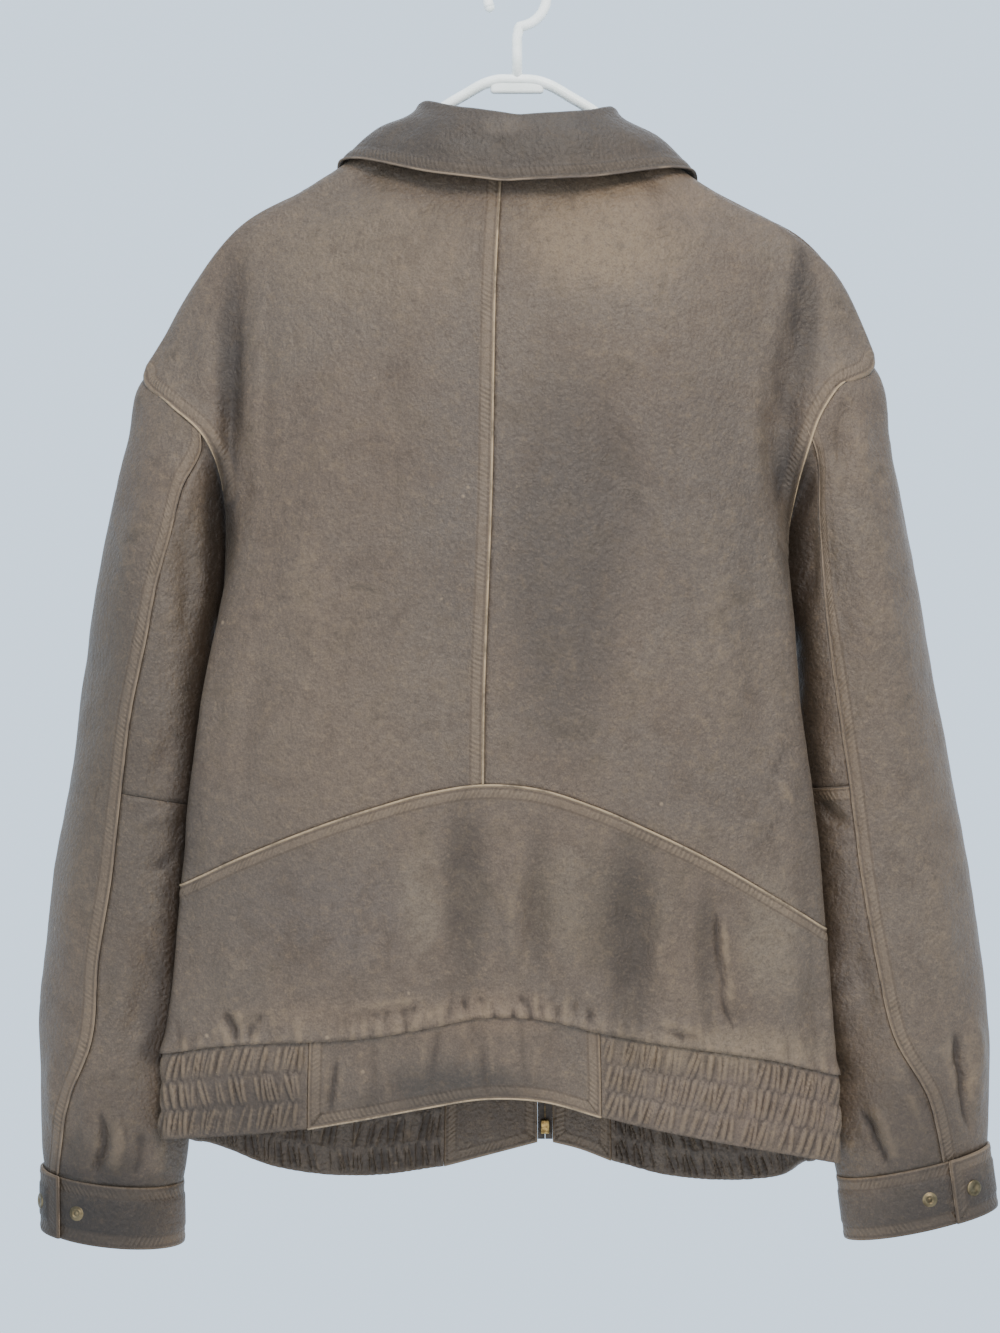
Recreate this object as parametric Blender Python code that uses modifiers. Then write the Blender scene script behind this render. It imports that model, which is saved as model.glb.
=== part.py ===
"""Worn leather jacket on a tubular hanger, hanging with its back towards -Y. Sizes are in millimetres."""

import bisect
import functools
import math

import bmesh
import bpy
import numpy as np
from mathutils import Matrix, Vector

MM = 0.001
WALL = 1.8  # leather, with its seam allowance
BAND_WALL = 3.0  # two layers and the elastic between them
BAND_END_WALL = 2.4  # the band's plain parts
SEAM = 0.35  # between two pieces along a seam
EDGE_FREE = 0.85  # left by each panel along its curved outer edge

# Shoulder line, from the neck out to the armhole: x and height z of the fold over the hanger.
SHOULDER = {
    -1: [(-84, -112.5), (-100, -122), (-134, -148.5), (-180, -174), (-208, -191), (-238, -229.5), (-259, -267),
         (-278.6, -303)],
    1: [(84, -117.5), (100, -130), (134, -158), (180, -180), (202.5, -194), (223.5, -207), (244, -237.5),
        (258, -267), (266, -294)],
}
# Back half of a section at height z: the fold edge where the body turns away, the dip beside the sleeve,
# the flap beyond it and the edge (armhole, then side seam). tuck is 1 where the side is turned under.
BACK_COLUMNS = ("z", "fold_x", "dip_x", "flap_x", "edge_x", "edge_y", "tuck")
BACK = {
    -1: [
        (-112.5, -52, -72, -82.6, -84, 0, 0), (-148.5, -98, -122, -132.6, -134, 0, 0),
        (-174, -150, -168, -178.6, -180, 0, 0), (-191, -172, -195, -206.6, -208, 0, 0),
        (-229.5, -195, -210, -236.8, -238, 0, 0), (-267, -198, -214, -257.8, -259, 0, 0),
        (-303, -199, -216, -273, -278.6, 0, 0), (-334, -199, -217, -236, -249, -29, 0),
        (-360, -199, -213, -220, -224.6, -20, 0.2), (-378, -198.5, -211, -217, -219.4, -14, 0.6),
        (-430, -206, -212, -216, -216, -12, 1), (-468, -216, -219, -219, -216, -10, 1),
        (-490, -221, -223, -221, -216, 2, 1), (-530, -229.5, -230, -226, -217, -14, 1),
        (-573, -236.4, -235.5, -231, -222.5, -24, 1), (-683, -247.5, -246, -241.5, -233.5, -26, 1),
        (-766, -255, -253.5, -249, -241, -26, 1), (-807, -261, -259.5, -255, -247, -25, 1),
        (-895, -263, -261.5, -257, -249, -25, 1),
    ],
    1: [
        (-117.5, 52, 72, 82.6, 84, 0, 0), (-158, 98, 122, 132.6, 134, 0, 0), (-180, 143, 167, 178.6, 180, 0, 0),
        (-194, 170, 190, 201.1, 202.5, 0, 0), (-207, 184, 208, 222, 223.5, 0, 0),
        (-237.5, 188, 211, 242.8, 244, 0, 0), (-267, 186, 207, 256.8, 258, 0, 0),
        (-294, 184, 202, 262, 266, 0, 0), (-316.7, 183, 196, 222, 235, -28, 0),
        (-344.5, 184, 194, 209, 220.5, -24, 0), (-376, 188, 196, 205, 211, -17, 0.4),
        (-410, 192, 198, 201, 202, -14, 1), (-440, 197, 200, 201, 200, -12, 1),
        (-468, 200.5, 202.5, 202, 199, -10, 1), (-490, 203, 204.5, 203, 199, 2, 1),
        (-530, 206, 206, 203, 197, -14, 1), (-573, 213, 212, 208, 201, -24, 1),
        (-683, 224, 222.5, 218, 210, -26, 1), (-766, 231, 229.5, 225, 217, -26, 1),
        (-820, 236, 234.5, 230, 222, -25, 1), (-895, 238, 236.5, 232, 224, -25, 1),
    ],
}
# Front half of the same sections: where the front rolls, its side wall, and the turn towards the seam.
FRONT_COLUMNS = ("z", "roll_x", "wall_x", "turn_x", "edge_x", "edge_y", "tuck")
FRONT = {
    -1: [
        (-112.5, -58, -74, -82.6, -84, 0, 0), (-148.5, -100, -122, -132.6, -134, 0, 0),
        (-191, -172, -195, -206.6, -208, 0, 0), (-229.5, -198, -220, -236.8, -238, 0, 0),
        (-267, -208, -236, -257.8, -259, 0, 0), (-303, -212, -240, -273, -278.6, 0, 0),
        (-325, -208, -228, -246, -258, 27, 0), (-360, -203, -217, -226, -232, 33, 0.3),
        (-430, -196, -206, -212, -215, 24, 1), (-468, -196, -208, -214, -216, 15, 1),
        (-490, -196, -209, -214, -216, 2, 1), (-530, -197, -211, -214, -217, -14, 1),
        (-573, -198, -212, -215, -222.5, -24, 1), (-683, -202, -217, -223, -233.5, -26, 1),
        (-766, -208, -224, -230, -241, -26, 1), (-807, -212, -229, -235, -247, -25, 1),
        (-895, -218, -236, -241, -249, -25, 1),
    ],
    1: [
        (-117.5, 58, 74, 82.6, 84, 0, 0), (-158, 100, 122, 132.6, 134, 0, 0), (-194, 165, 188, 201.1, 202.5, 0, 0),
        (-237.5, 192, 220, 242.8, 244, 0, 0), (-267, 198, 230, 256.8, 258, 0, 0),
        (-294, 200, 230, 262, 266, 0, 0),
        (-318, 196, 216, 233, 244, 27, 0), (-355, 190, 204, 214, 220, 32, 0.3),
        (-430, 180, 190, 196, 200, 24, 1), (-468, 179, 191, 197, 199, 15, 1), (-490, 179, 192, 197, 199, 2, 1),
        (-530, 180, 193, 196, 197, -14, 1), (-573, 181, 195, 197, 201, -24, 1),
        (-683, 186, 201, 204, 210, -26, 1), (-766, 193, 208, 211, 217, -26, 1),
        (-820, 197, 213, 216, 222, -25, 1), (-895, 202, 217, 220, 224, -25, 1),
    ],
}
UNDERARM_Z = -490
SIDE_Z = -650  # a height halfway down the side seam
WAIST_Z = -800  # a height at the waist seam
CREST_ROLL = 7.0  # half the flat top of the shoulder over the hanger arm
ROLL_DROP = 9.0
CREST_STEP = 1.3  # from the crest to the panels' next point, sideways
BODY_GROWTH = 90.0  # how fast the body deepens below the shoulder
DEPTH = [(-120, 60), (-300, 62), (-480, 68), (-640, 68), (-760, 62), (-900, 58)]  # height, back depth
FRONT_DEPTH = [(-120, 64), (-480, 68), (-760, 62), (-900, 58)]
SIDE_FALL = 0.42  # share of the depth lost at the fold edge
TURN_SHARES = (0.62, 0.30)  # where dip and flap lie between the fold's depth and the edge's

# Seams that run across the body: x and height.
CENTRE_BACK = [(-11.5, -148), (-16.5, -250), (-18.6, -380), (-25, -592), (-25, -900)]
ZIP_LINE = [(-3, -150), (-3, -205), (22, -880), (22, -900)]
NECK_BACK = -148  # height at the centre back
NECK_FRONT = -205
ARCH = [(-246, -681), (-199, -658), (-127, -630), (-54, -610), (-18, -606), (31, -612), (60, -623),
        (133, -656), (206, -700), (228, -715)]
WAIST_BACK = [(-262, -806), (-205, -797), (-127, -793), (-54, -782), (-8, -774.5), (53, -786), (119, -798),
              (178, -807), (236, -822)]
HEM_BACK = [(-262, -869), (-150, -857.6), (-75, -843.5), (-13, -835), (31, -839), (61, -849), (119.5, -862.7),
            (198, -878.4), (236, -887)]
WAIST_FRONT = [(-247, -804), (-180, -838), (-125, -847), (-50, -838), (22, -823), (90, -842), (140, -850),
               (190, -846), (222, -818.5)]
HEM_FRONT = [(-249, -868), (-180, -903), (-125, -912), (-50, -904), (22, -886), (90, -906), (140, -914),
             (190, -911), (224, -884)]

# Heights of the panels' rows where they meet the armhole and the side seam. Armhole rows are the sleeve's columns.
LEVELS = {
    -1: (-130, -155, -191, -229.5, -267, -303, -325, -350, -378, -415, -450, -475, -490, -530, -600),
    1: (-136, -165, -194, -222, -255, -294, -313, -333, -355, -385, -415, -450, -475, -490, -530, -610),
}
FRONT_EXTRA = (-690,)
SEAM_START = {-1: -350, 1: -355}  # where the seam down the back of the sleeve leaves the armhole
FRONT_SEAM_START = -415
BACK_SHARES = {
    -1: (0, 0.1, 0.2, 0.3, 0.4, 0.5, 0.59, 0.667, 0.74, 0.82, 0.89, 0.95, 1),
    1: (0, 0.09, 0.183, 0.28, 0.38, 0.48, 0.58, 0.667, 0.74, 0.82, 0.89, 0.95, 1),
}
FRONT_SHARES = {
    -1: (0, 0.094, 0.188, 0.32, 0.45, 0.56, 0.667, 0.76, 0.83, 0.89, 0.95, 1),
    1: (0, 0.082, 0.164, 0.3, 0.43, 0.55, 0.667, 0.76, 0.83, 0.89, 0.95, 1),
}
BAND_CUT = {(-1, "back"): 3, (1, "back"): 2, (-1, "front"): 2, (1, "front"): 2}  # columns at the band's seams

# Sleeve silhouettes: x and height.
OUTER = {
    -1: [(-278.6, -303), (-289, -337), (-298.5, -378), (-310, -427.5), (-319.5, -483), (-327, -536),
         (-338, -620), (-349.5, -682.5), (-356.7, -759), (-360, -809), (-357, -865), (-355, -893)],
    1: [(266, -294), (272, -314), (279, -342), (287, -380), (294, -417), (306, -482), (320, -560),
        (328.5, -606), (340.5, -671), (351, -737), (355, -782), (355, -829.5), (354, -876)],
}
INNER = {
    -1: [(-216, -470), (-223, -486), (-225, -510), (-223, -545), (-222, -600), (-227, -680), (-234, -760),
         (-243, -840), (-250, -905)],
    1: [(199, -470), (206, -486), (210, -510), (209, -545), (209, -600), (214, -680), (221, -760),
        (231, -840), (240, -902)],
}
# Sleeve sections from armhole to cuff: height on the outer and the inner side, middle depth, half depth.
SLEEVE = {
    -1: [(-303, -490, 2, 30), (-322, -485.5, 3, 36), (-350, -486.5, 5, 41), (-385, -492, 7, 46),
         (-430, -505, 9, 50), (-480, -527, 12, 53), (-540, -566, 14, 55), (-606, -626, 15, 56),
         (-672, -684, 15, 56), (-735, -742, 14, 55), (-795, -800, 12, 52), (-845, -852, 9, 46),
         (-893, -904, 5, 37)],
    1: [(-294, -490, 2, 30), (-314, -485.5, 3, 36), (-344, -486.5, 5, 41), (-380, -492, 7, 46),
        (-425, -505, 9, 50), (-475, -525, 12, 53), (-535, -562, 14, 55), (-600, -612, 15, 56),
        (-668, -680, 15, 56), (-728, -740, 14, 55), (-785, -800, 12, 50), (-832, -852, 9, 43),
        (-876, -901, 5, 33)],
}
ELBOW = 7  # the section of the cross seam
BLEND = (1.0, 0.9, 0.72, 0.5, 0.28, 0.1)  # how much the armhole's own curve still shows in each section
LEAVE = 4.5  # how far the sleeve first follows the body's slope
ARMPIT = (440.0, 42.0)  # the drop where the sleeve starts to leave upwards, and the length this takes
SHOULDER_TIP = 14.0  # length below the shoulder's tip where the sleeve leaves downwards
ARMHOLE_FREE = 1.75  # left by the sleeve along the armhole
SLEEVE_TRIM = SEAM / 2 / 30  # radians left along a sleeve's seam, at its smallest radius
# Seam down the back of the sleeve: x and height.
SLEEVE_SEAM = {
    -1: [(-230, -340), (-247, -387), (-258, -429), (-270, -477.5), (-277, -521), (-287, -566), (-292.5, -619),
         (-298.7, -672), (-308.4, -734), (-312, -786), (-319.4, -813), (-336, -857), (-341, -900)],
    1: [(218, -355), (222.3, -374), (224.5, -418), (229, -484.5), (237, -545), (241, -579), (246, -610),
        (256, -687), (263, -726), (272, -773), (285, -809), (298, -832), (311, -851), (318, -905)],
}
# Cuffs: outer and inner corner of the top edge, drop to the bottom edge, half depth, tilt of the back, and the
# angles of the tab's end, cap and stud round the cuff.
CUFF = {
    -1: {"outer": (-356, -894.5), "inner": (-250, -905.5), "drop": (0.5, -45.5), "half_depth": 36,
         "back_drop": 5, "tab": 46, "cap": 17, "stud": 63, "cap_sunk": 0.8},
    1: {"outer": (354, -877.5), "inner": (240, -902.5), "drop": (6, -46), "half_depth": 32,
        "back_drop": 3, "tab": 66, "cap": 49, "stud": 84, "cap_sunk": 0.0},
}
CUFF_WALL = 2.6
CUFF_Y = 5.0  # middle depth of the cuffs
CUFF_INSET = -1.0  # of the cuff's under layer and the sleeve's end
NARROW = 0.018  # radians beside a seam, so that the walls' ends stay parallel
TAB_LIFT = 3.4  # the tab lies on the cuff's other end
TAB_UNDER = 62  # degrees of cuff beneath the tab
TAB_SLOPE = 1.9  # radians in which the tab's layer comes down to the cuff's own
CAP_R = 6.2
CAP_H = 2.2
SNAP_SHARE = 0.52  # place down the cuff
SNAP_GAP = {"cap": 0.75, "stud": 0.6}  # over the middle, so that the rim clears the curved leather
STUD_R = 5.8
STUD_H = 1.6

# Collar: neck seam, fold, and outer edge, from the centre back round to the front end, on each side.
COLLAR = {
    -1: {"neck": [(-11.5, -41, -146.5), (-50, -30, -134), (-83, 1, -110.5), (-66, 38, -148), (-6, 63, -203)],
         "fold": [(0, -42, -114), (-42, -33, -106.5), (-71, 0, -98.6), (-60, 42, -128), (-9, 72, -187)],
         "edge": [(-11, -55, -163.5), (-62, -51, -157), (-132, -2, -141.5), (-112, 52, -186), (-64, 82, -262)]},
    1: {"neck": [(-11.5, -41, -146.5), (44, -32, -136), (83, 1, -115.5), (64, 38, -150), (0, 63, -203)],
        "fold": [(0, -42, -114), (46, -33, -109.5), (72, 0, -102.6), (58, 42, -131), (3, 72, -187)],
        "edge": [(-11, -55, -163.5), (52, -53, -160.5), (132, -2, -149.0), (112, 52, -192), (58, 82, -262)]},
}
COLLAR_ROLL = 2.8
COLLAR_BOW = (2.0, 4.0)  # how far the fall bows outwards and upwards halfway down
COLLAR_STEPS = 4  # between two of its points
ROLL_SHAPE = (1.6, 0.5, 1.9, 0.7)  # the fold's depth, its reach inwards, outwards and at the crown, in rolls

# Zip
ZIP_TAPE = 6.0
ZIP_TOP = -262.0
ZIP_WALL = 1.6
ZIP_BOX = (7.0, 4.6, 11.0)
ZIP_CLEAR = 0.8
SLIDER = (8.0, 3.0, 12.0)
PIN_OUT = 1.7  # from the slider's face to the pull's pin
PIN_UP = 2.5  # over the slider's middle
CHEEK = (1.2, 4.0, 4.0)
CHEEK_X = 2.7
CHEEK_BACK = 0.6  # the cheeks' middle, behind the pin
PULL_EYE = (3.4, 1.5, 5.4)
PULL_EYE_DROP = 1.4
PULL_LEAF = (6.0, 1.5, 24.0)
PULL_LEAF_DROP = 16.0
ZIP_FOOT = -884.0  # the tapes' lower ends
ZIP_BOX_Z = -874.0
ZIP_BOX_GAP = 0.4  # behind the tapes
ZIP_OPENING = (60.0, 2.0)  # over the slider the tapes part by the second in each length of the first

# Hanger
TUBE_R = 4.25
HOOK_R = 22.0  # centre line, so that the inner top of the hook is the origin
HOOK_TUBE_R = 4.0
HOOK_START = 200  # degrees: the tip of the hook, round to its neck at -90
HOOK_NECK = (1.5, 1.0)  # sideways and down, where the bend meets the stem
STEM = (8.0, -60.0, -79.0)  # drop below the bend, then two heights
WEB = (40, 6, 13)
WEB_Z = -84
ARMS = {
    -1: [(-6, -80), (-22, -82), (-57, -102), (-71, -113), (-100, -133), (-134, -157.5), (-180, -183.5),
         (-206, -200)],
    1: [(6, -80), (22, -83), (58, -104), (72, -116), (100, -138.5), (134, -167), (180, -190), (204, -204)],
}

COLOURS = {
    "leather": ((0.205, 0.165, 0.130), 0.72, 0.0),
    "brass": ((0.36, 0.29, 0.19), 0.45, 1.0),
    "tape": ((0.05, 0.04, 0.035), 0.9, 0.0),
    "plastic": ((0.84, 0.87, 0.84), 0.4, 0.0),
}


@functools.lru_cache(maxsize=None)
def curveOf(rows, key, wanted):
    """Knots and tangents of a smooth curve through one column of a table, without overshoot."""
    ordered = sorted(rows, key=lambda row: row[key])
    xs = [float(row[key]) for row in ordered]
    ys = [float(row[wanted]) for row in ordered]
    slopes = [(ys[k + 1] - ys[k]) / (xs[k + 1] - xs[k]) for k in range(len(xs) - 1)]
    tangents = [slopes[0]]
    for a, b in zip(slopes, slopes[1:]):
        tangents.append(0.0 if a * b <= 0 else 2 * a * b / (a + b))
    tangents.append(slopes[-1])
    return xs, ys, tangents


def along(table, value, key=0, wanted=1):
    """Smooth interpolation in a table of rows, from one of its columns to another."""
    xs, ys, tangents = curveOf(tuple(table), key, wanted)
    value = min(max(float(value), xs[0]), xs[-1])
    i = min(max(bisect.bisect_left(xs, value) - 1, 0), len(xs) - 2)
    step = xs[i + 1] - xs[i]
    t = (value - xs[i]) / step
    rise = (2 * t**3 - 3 * t**2 + 1) * ys[i] + (3 * t**2 - 2 * t**3) * ys[i + 1]
    return rise + step * ((t**3 - 2 * t**2 + t) * tangents[i] + (t**3 - t**2) * tangents[i + 1])


def spline(points, count):
    """A smooth curve through the points, with count pieces between each pair."""
    p = np.array(points, float)
    ghost = np.vstack([2 * p[0] - p[1], p, 2 * p[-1] - p[-2]])
    out = []
    for i in range(1, len(ghost) - 2):
        a, b, c, d = ghost[i - 1 : i + 3]
        for j in range(count):
            t = j / count
            out.append(0.5 * (2 * b + (c - a) * t + (2 * a - 5 * b + 4 * c - d) * t**2
                              + (3 * b - a - 3 * c + d) * t**3))
    out.append(p[-1])
    return np.array(out)


def unit(v):
    return v / max(float(np.linalg.norm(v)), 1e-9)


# The body's skin

SHOULDER_LINE = SHOULDER[-1] + [(0, -94)] + SHOULDER[1]


def belowShoulder(x, z):
    """How far a point lies below the shoulder line."""
    return max(along(SHOULDER_LINE, x) - z, 0.0)


def depthAt(x, z, fold, depths):
    """Distance of the body's skin from the hanger's plane."""
    h = belowShoulder(x, z)
    roll = CREST_ROLL * math.sqrt(1 - (1 - min(h / ROLL_DROP, 1.0)) ** 2)
    u = min(abs(x / fold), 1.0)
    grown = along(depths, z) * (1 - math.exp(-h / BODY_GROWTH)) * (1 - SIDE_FALL * u**4)
    return roll + grown


def row(table, columns, z):
    return {name: along(table, z, 0, i) for i, name in enumerate(columns) if i}


SHARES = (0.0, 0.2, 0.4, 0.6, 0.78, 0.92)  # points from the middle towards the fold
ROLL_SHARE = 0.96  # the front's are drawn in a little from its roll
TUCK_STEP = 2.0  # the fold stands out this much where the side is turned under


def onSharedSeam(side, z, r, beside):
    """Front and back share the shoulder line above the armhole, and the side seam below it."""
    if z > SHOULDER[side][-1][1]:
        r["edge_x"] = along(SHOULDER[side], z, 1, 0)
        r[beside] = r["edge_x"] - side * CREST_STEP
    elif z < UNDERARM_Z:
        r["edge_x"] = along(BACK[side], z, 0, BACK_COLUMNS.index("edge_x"))
        r["edge_y"] = along(BACK[side], z, 0, BACK_COLUMNS.index("edge_y"))
    return r


def backSection(side, z):
    """Control points of the back half of a section, from the centre seam to the armhole or side seam."""
    r = onSharedSeam(side, z, row(BACK[side], BACK_COLUMNS, z), "flap_x")
    middle = along(CENTRE_BACK, z, 1, 0)
    fold = r["fold_x"]
    points = []
    for share in SHARES:
        x = middle + (fold - middle) * share
        points.append((x, -depthAt(x, z, fold, DEPTH)))
    y = {name: -depthAt(r[name + "_x"], z, fold, DEPTH) for name in ("fold", "dip", "flap", "edge")}
    points.append((fold, y["fold"] + TUCK_STEP * r["tuck"]))
    edge = y["edge"] * (1 - r["tuck"]) + r["edge_y"] * r["tuck"]
    for name, share in zip(("dip", "flap"), TURN_SHARES):
        turned = edge + (y["fold"] + TUCK_STEP - edge) * share
        points.append((r[name + "_x"], y[name] * (1 - r["tuck"]) + turned * r["tuck"]))
    points.append((r["edge_x"], edge))
    return points


def frontSection(side, z):
    """Control points of the front half, from the zip to the armhole or side seam."""
    r = onSharedSeam(side, z, row(FRONT[side], FRONT_COLUMNS, z), "turn_x")
    middle = along(ZIP_LINE, z, 1, 0)
    roll = r["roll_x"]
    points = []
    for share in SHARES:
        x = middle + (roll - middle) * share * ROLL_SHARE
        points.append((x, depthAt(x, z, roll, FRONT_DEPTH)))
    y = {name: depthAt(r[name + "_x"], z, roll, FRONT_DEPTH) for name in ("roll", "wall", "turn", "edge")}
    edge = y["edge"] * (1 - r["tuck"]) + r["edge_y"] * r["tuck"]
    points.append((roll, y["roll"]))
    for name, share in zip(("wall", "turn"), TURN_SHARES):
        turned = edge + (y["roll"] - edge) * share
        points.append((r[name + "_x"], y[name] * (1 - r["tuck"]) + turned * r["tuck"]))
    points.append((r["edge_x"], edge))
    return points


FINE = 6  # fine points between two control points


@functools.lru_cache(maxsize=4000)
def sectionLine(side, face, z):
    section = backSection if face == "back" else frontSection
    flat = spline(section(side, z), FINE)
    return np.column_stack([flat, np.full(len(flat), z)])


def skin(side, face, share, z, first=0.0, last=0.0):
    """A point of the body's skin: share runs over the control points from 0 at the middle to 1 at the edge.
    The first and last millimetres are left free."""
    line = sectionLine(side, face, z)
    pieces = len(line) - 1
    start = first / np.linalg.norm(line[1] - line[0])
    end = pieces - last / np.linalg.norm(line[-1] - line[-2])
    at = min(max(share * pieces, start), end)
    i = min(int(at), pieces - 1)
    return line[i] + (line[i + 1] - line[i]) * (at - i)


# Making the pieces

def material(kind):
    name = "mat_" + kind
    found = bpy.data.materials.get(name)
    if found:
        return found
    colour, roughness, metallic = COLOURS[kind]
    made = bpy.data.materials.new(name)
    made.use_nodes = True
    shader = made.node_tree.nodes["Principled BSDF"]
    shader.inputs["Base Color"].default_value = (*colour, 1.0)
    shader.inputs["Roughness"].default_value = roughness
    shader.inputs["Metallic"].default_value = metallic
    made.diffuse_color = (*colour, 1.0)
    return made


def place(name, mesh, kind, collection):
    thing = bpy.data.objects.new(name, mesh)
    own = material(kind).copy()
    own.name = f"mat_{name}"
    mesh.materials.append(own)
    collection.objects.link(thing)
    return thing


def sheet(name, grid, wall, kind, collection, outward):
    """A wall along rows of points: a loft between the rows, given its thickness by Solidify."""
    mesh = bpy.data.meshes.new(name)
    bm = bmesh.new()
    rows = [[bm.verts.new(Vector(p) * MM) for p in line] for line in grid]
    for upper, lower in zip(rows, rows[1:]):
        for k in range(len(upper) - 1):
            bm.faces.new((upper[k], lower[k], lower[k + 1], upper[k + 1]))
    bm.normal_update()
    middle = grid[len(grid) // 2][len(grid[0]) // 2]
    nearest = min(bm.faces, key=lambda f: (f.calc_center_median() - Vector(middle) * MM).length)
    if nearest.normal.dot(Vector(outward)) < 0:
        bmesh.ops.reverse_faces(bm, faces=bm.faces)
    bm.to_mesh(mesh)
    bm.free()
    mesh.shade_smooth()
    thing = place(name, mesh, kind, collection)
    solid = thing.modifiers.new("wall", "SOLIDIFY")
    solid.thickness = wall * MM
    solid.offset = 0.0
    solid.use_even_offset = False
    return thing


def panel(side, face, neck, foot):
    """Rows of a panel from the neck and shoulder down to the seam foot(x)."""
    share_list = BACK_SHARES[side] if face == "back" else FRONT_SHARES[side]
    top = SHOULDER[side][0][1]
    level_low = foot(skin(side, face, 1, SIDE_Z)[0])
    levels = [top] + [z for z in LEVELS[side] + (FRONT_EXTRA if face == "front" else ()) if z > level_low + 20]
    levels.append(level_low)
    grid = []
    for level in levels:
        v = (level - top) / (level_low - top)
        line = []
        for share in share_list:
            high = neck + (top - neck) * share**1.5 - SEAM / 2
            low = foot(skin(side, face, share, level_low)[0]) + SEAM / 2
            free = SEAM / 2 if face == "back" else ZIP_TAPE + SEAM / 2
            line.append(skin(side, face, share, high + (low - high) * v, free, EDGE_FREE))
        grid.append(line)
    return grid


def makeBody(collection):
    for side, word in ((-1, "left"), (1, "right")):
        grid = panel(side, "back", NECK_BACK, lambda x: along(ARCH, x))
        sheet(f"back_{word}", grid, WALL, "leather", collection, (0, -1, 0))
        grid = panel(side, "front", NECK_FRONT, lambda x: along(WAIST_FRONT, x))
        sheet(f"front_{word}", grid, WALL, "leather", collection, (0, 1, 0))
    grid = []
    steps = 5
    for j in range(steps + 1):
        line = []
        for side, order in ((-1, BACK_SHARES[-1][:0:-1]), (1, BACK_SHARES[1])):
            level_low = along(ARCH, skin(side, "back", 1, SIDE_Z)[0])
            for share in order:
                high = along(ARCH, skin(side, "back", share, level_low)[0]) - SEAM / 2
                low = along(WAIST_BACK, skin(side, "back", share, WAIST_Z)[0]) + SEAM / 2
                line.append(skin(side, "back", share, high + (low - high) * j / steps, 0, EDGE_FREE))
        grid.append(line)
    sheet("back_lower", grid, WALL, "leather", collection, (0, -1, 0))


def bandColumn(side, face, share, steps):
    """One column of the waistband, from the waist seam down to the hem."""
    top, bottom = (WAIST_BACK, HEM_BACK) if face == "back" else (WAIST_FRONT, HEM_FRONT)
    level = WAIST_Z if face == "back" else along(WAIST_FRONT, skin(side, face, 1, SIDE_Z)[0])
    x = skin(side, face, share, level)[0]
    high, low = along(top, x) - 1.5 * SEAM, along(bottom, x)
    free = ZIP_TAPE + SEAM / 2 if face == "front" else 0
    return [skin(side, face, share, high + (low - high) * j / steps, free) for j in range(steps + 1)]


def makeBand(collection):
    steps = 2
    columns, cuts = [], []
    for side, face in ((-1, "front"), (-1, "back"), (1, "back"), (1, "front")):
        share_list = BACK_SHARES[side] if face == "back" else FRONT_SHARES[side]
        order = list(range(len(share_list)))
        if (side, face) in ((-1, "back"), (1, "front")):
            order.reverse()
        if columns:
            order = order[1:]
        for k in order:
            if k == BAND_CUT[side, face]:
                cuts.append(len(columns))
            columns.append(bandColumn(side, face, share_list[k], steps))
    pieces = (
        ("waist_front_left", 0, cuts[0], (0, 1, 0)), ("waist_elastic_left", cuts[0], cuts[1], (-1, 0, 0)),
        ("waist_back", cuts[1], cuts[2], (0, -1, 0)), ("waist_elastic_right", cuts[2], cuts[3], (1, 0, 0)),
        ("waist_front_right", cuts[3], len(columns) - 1, (0, 1, 0)),
    )
    for name, start, end, outward in pieces:
        part = [list(column) for column in columns[start : end + 1]]
        for here, beside in ((0, 1), (-1, -2)):
            if name.startswith("waist_front") and (start == 0) == (here == 0):
                continue
            for j in range(steps + 1):
                part[here][j] = part[here][j] + unit(part[beside][j] - part[here][j]) * SEAM / 2
        grid = [[column[j] for column in part] for j in range(steps + 1)]
        wall = BAND_WALL if "elastic" in name else BAND_END_WALL
        sheet(name, grid, wall, "leather", collection, outward)


# Sleeves

def armholeAngle(side, z, face):
    """The angle round the armhole, from its top, of a height on its back or front."""
    top, bottom = SLEEVE[side][0][0], SLEEVE[side][0][1]
    share = (z - (top + bottom) / 2) / ((top - bottom) / 2)
    return math.acos(min(max(share, -1), 1)) * (1 if face == "back" else -1)


def armhole(side, angle):
    """A point of the armhole at an angle from its top, and the way the body's skin leaves there."""
    top, bottom = SLEEVE[side][0][0], SLEEVE[side][0][1]
    z = (top + bottom) / 2 + (top - bottom) / 2 * math.cos(angle)
    face = "back" if math.sin(angle) >= 0 else "front"
    line = sectionLine(side, face, z)
    edge = line[-1]
    leave = unit(edge - line[-4])
    up = min(max((-z - ARMPIT[0]) / ARMPIT[1], 0), 1)
    up = up * up * (3 - 2 * up)
    near_top = min(max(1 - (top - z) / SHOULDER_TIP, 0), 1)
    leave = unit(leave * (1 - up) + np.array([side * 0.15, 0, 1]) * up)
    leave = unit(leave * (1 - near_top) + unit(np.array([side, 0, -1.3])) * near_top)
    return edge, leave


def loop(side, station, angle):
    """A plain oval section of the sleeve."""
    top, low, middle_y, depth = SLEEVE[side][station]
    o = np.array([along(OUTER[side], top, 1, 0), top])
    i = np.array([along(INNER[side], low, 1, 0), low])
    if station == 0:
        o = np.array(SHOULDER[side][-1], float)
        i = sectionLine(side, "back", UNDERARM_Z)[-1][[0, 2]]
    x, z = (o + i) / 2 + (o - i) / 2 * math.cos(angle)
    return np.array([x, middle_y - depth * math.sin(angle), z])


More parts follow.
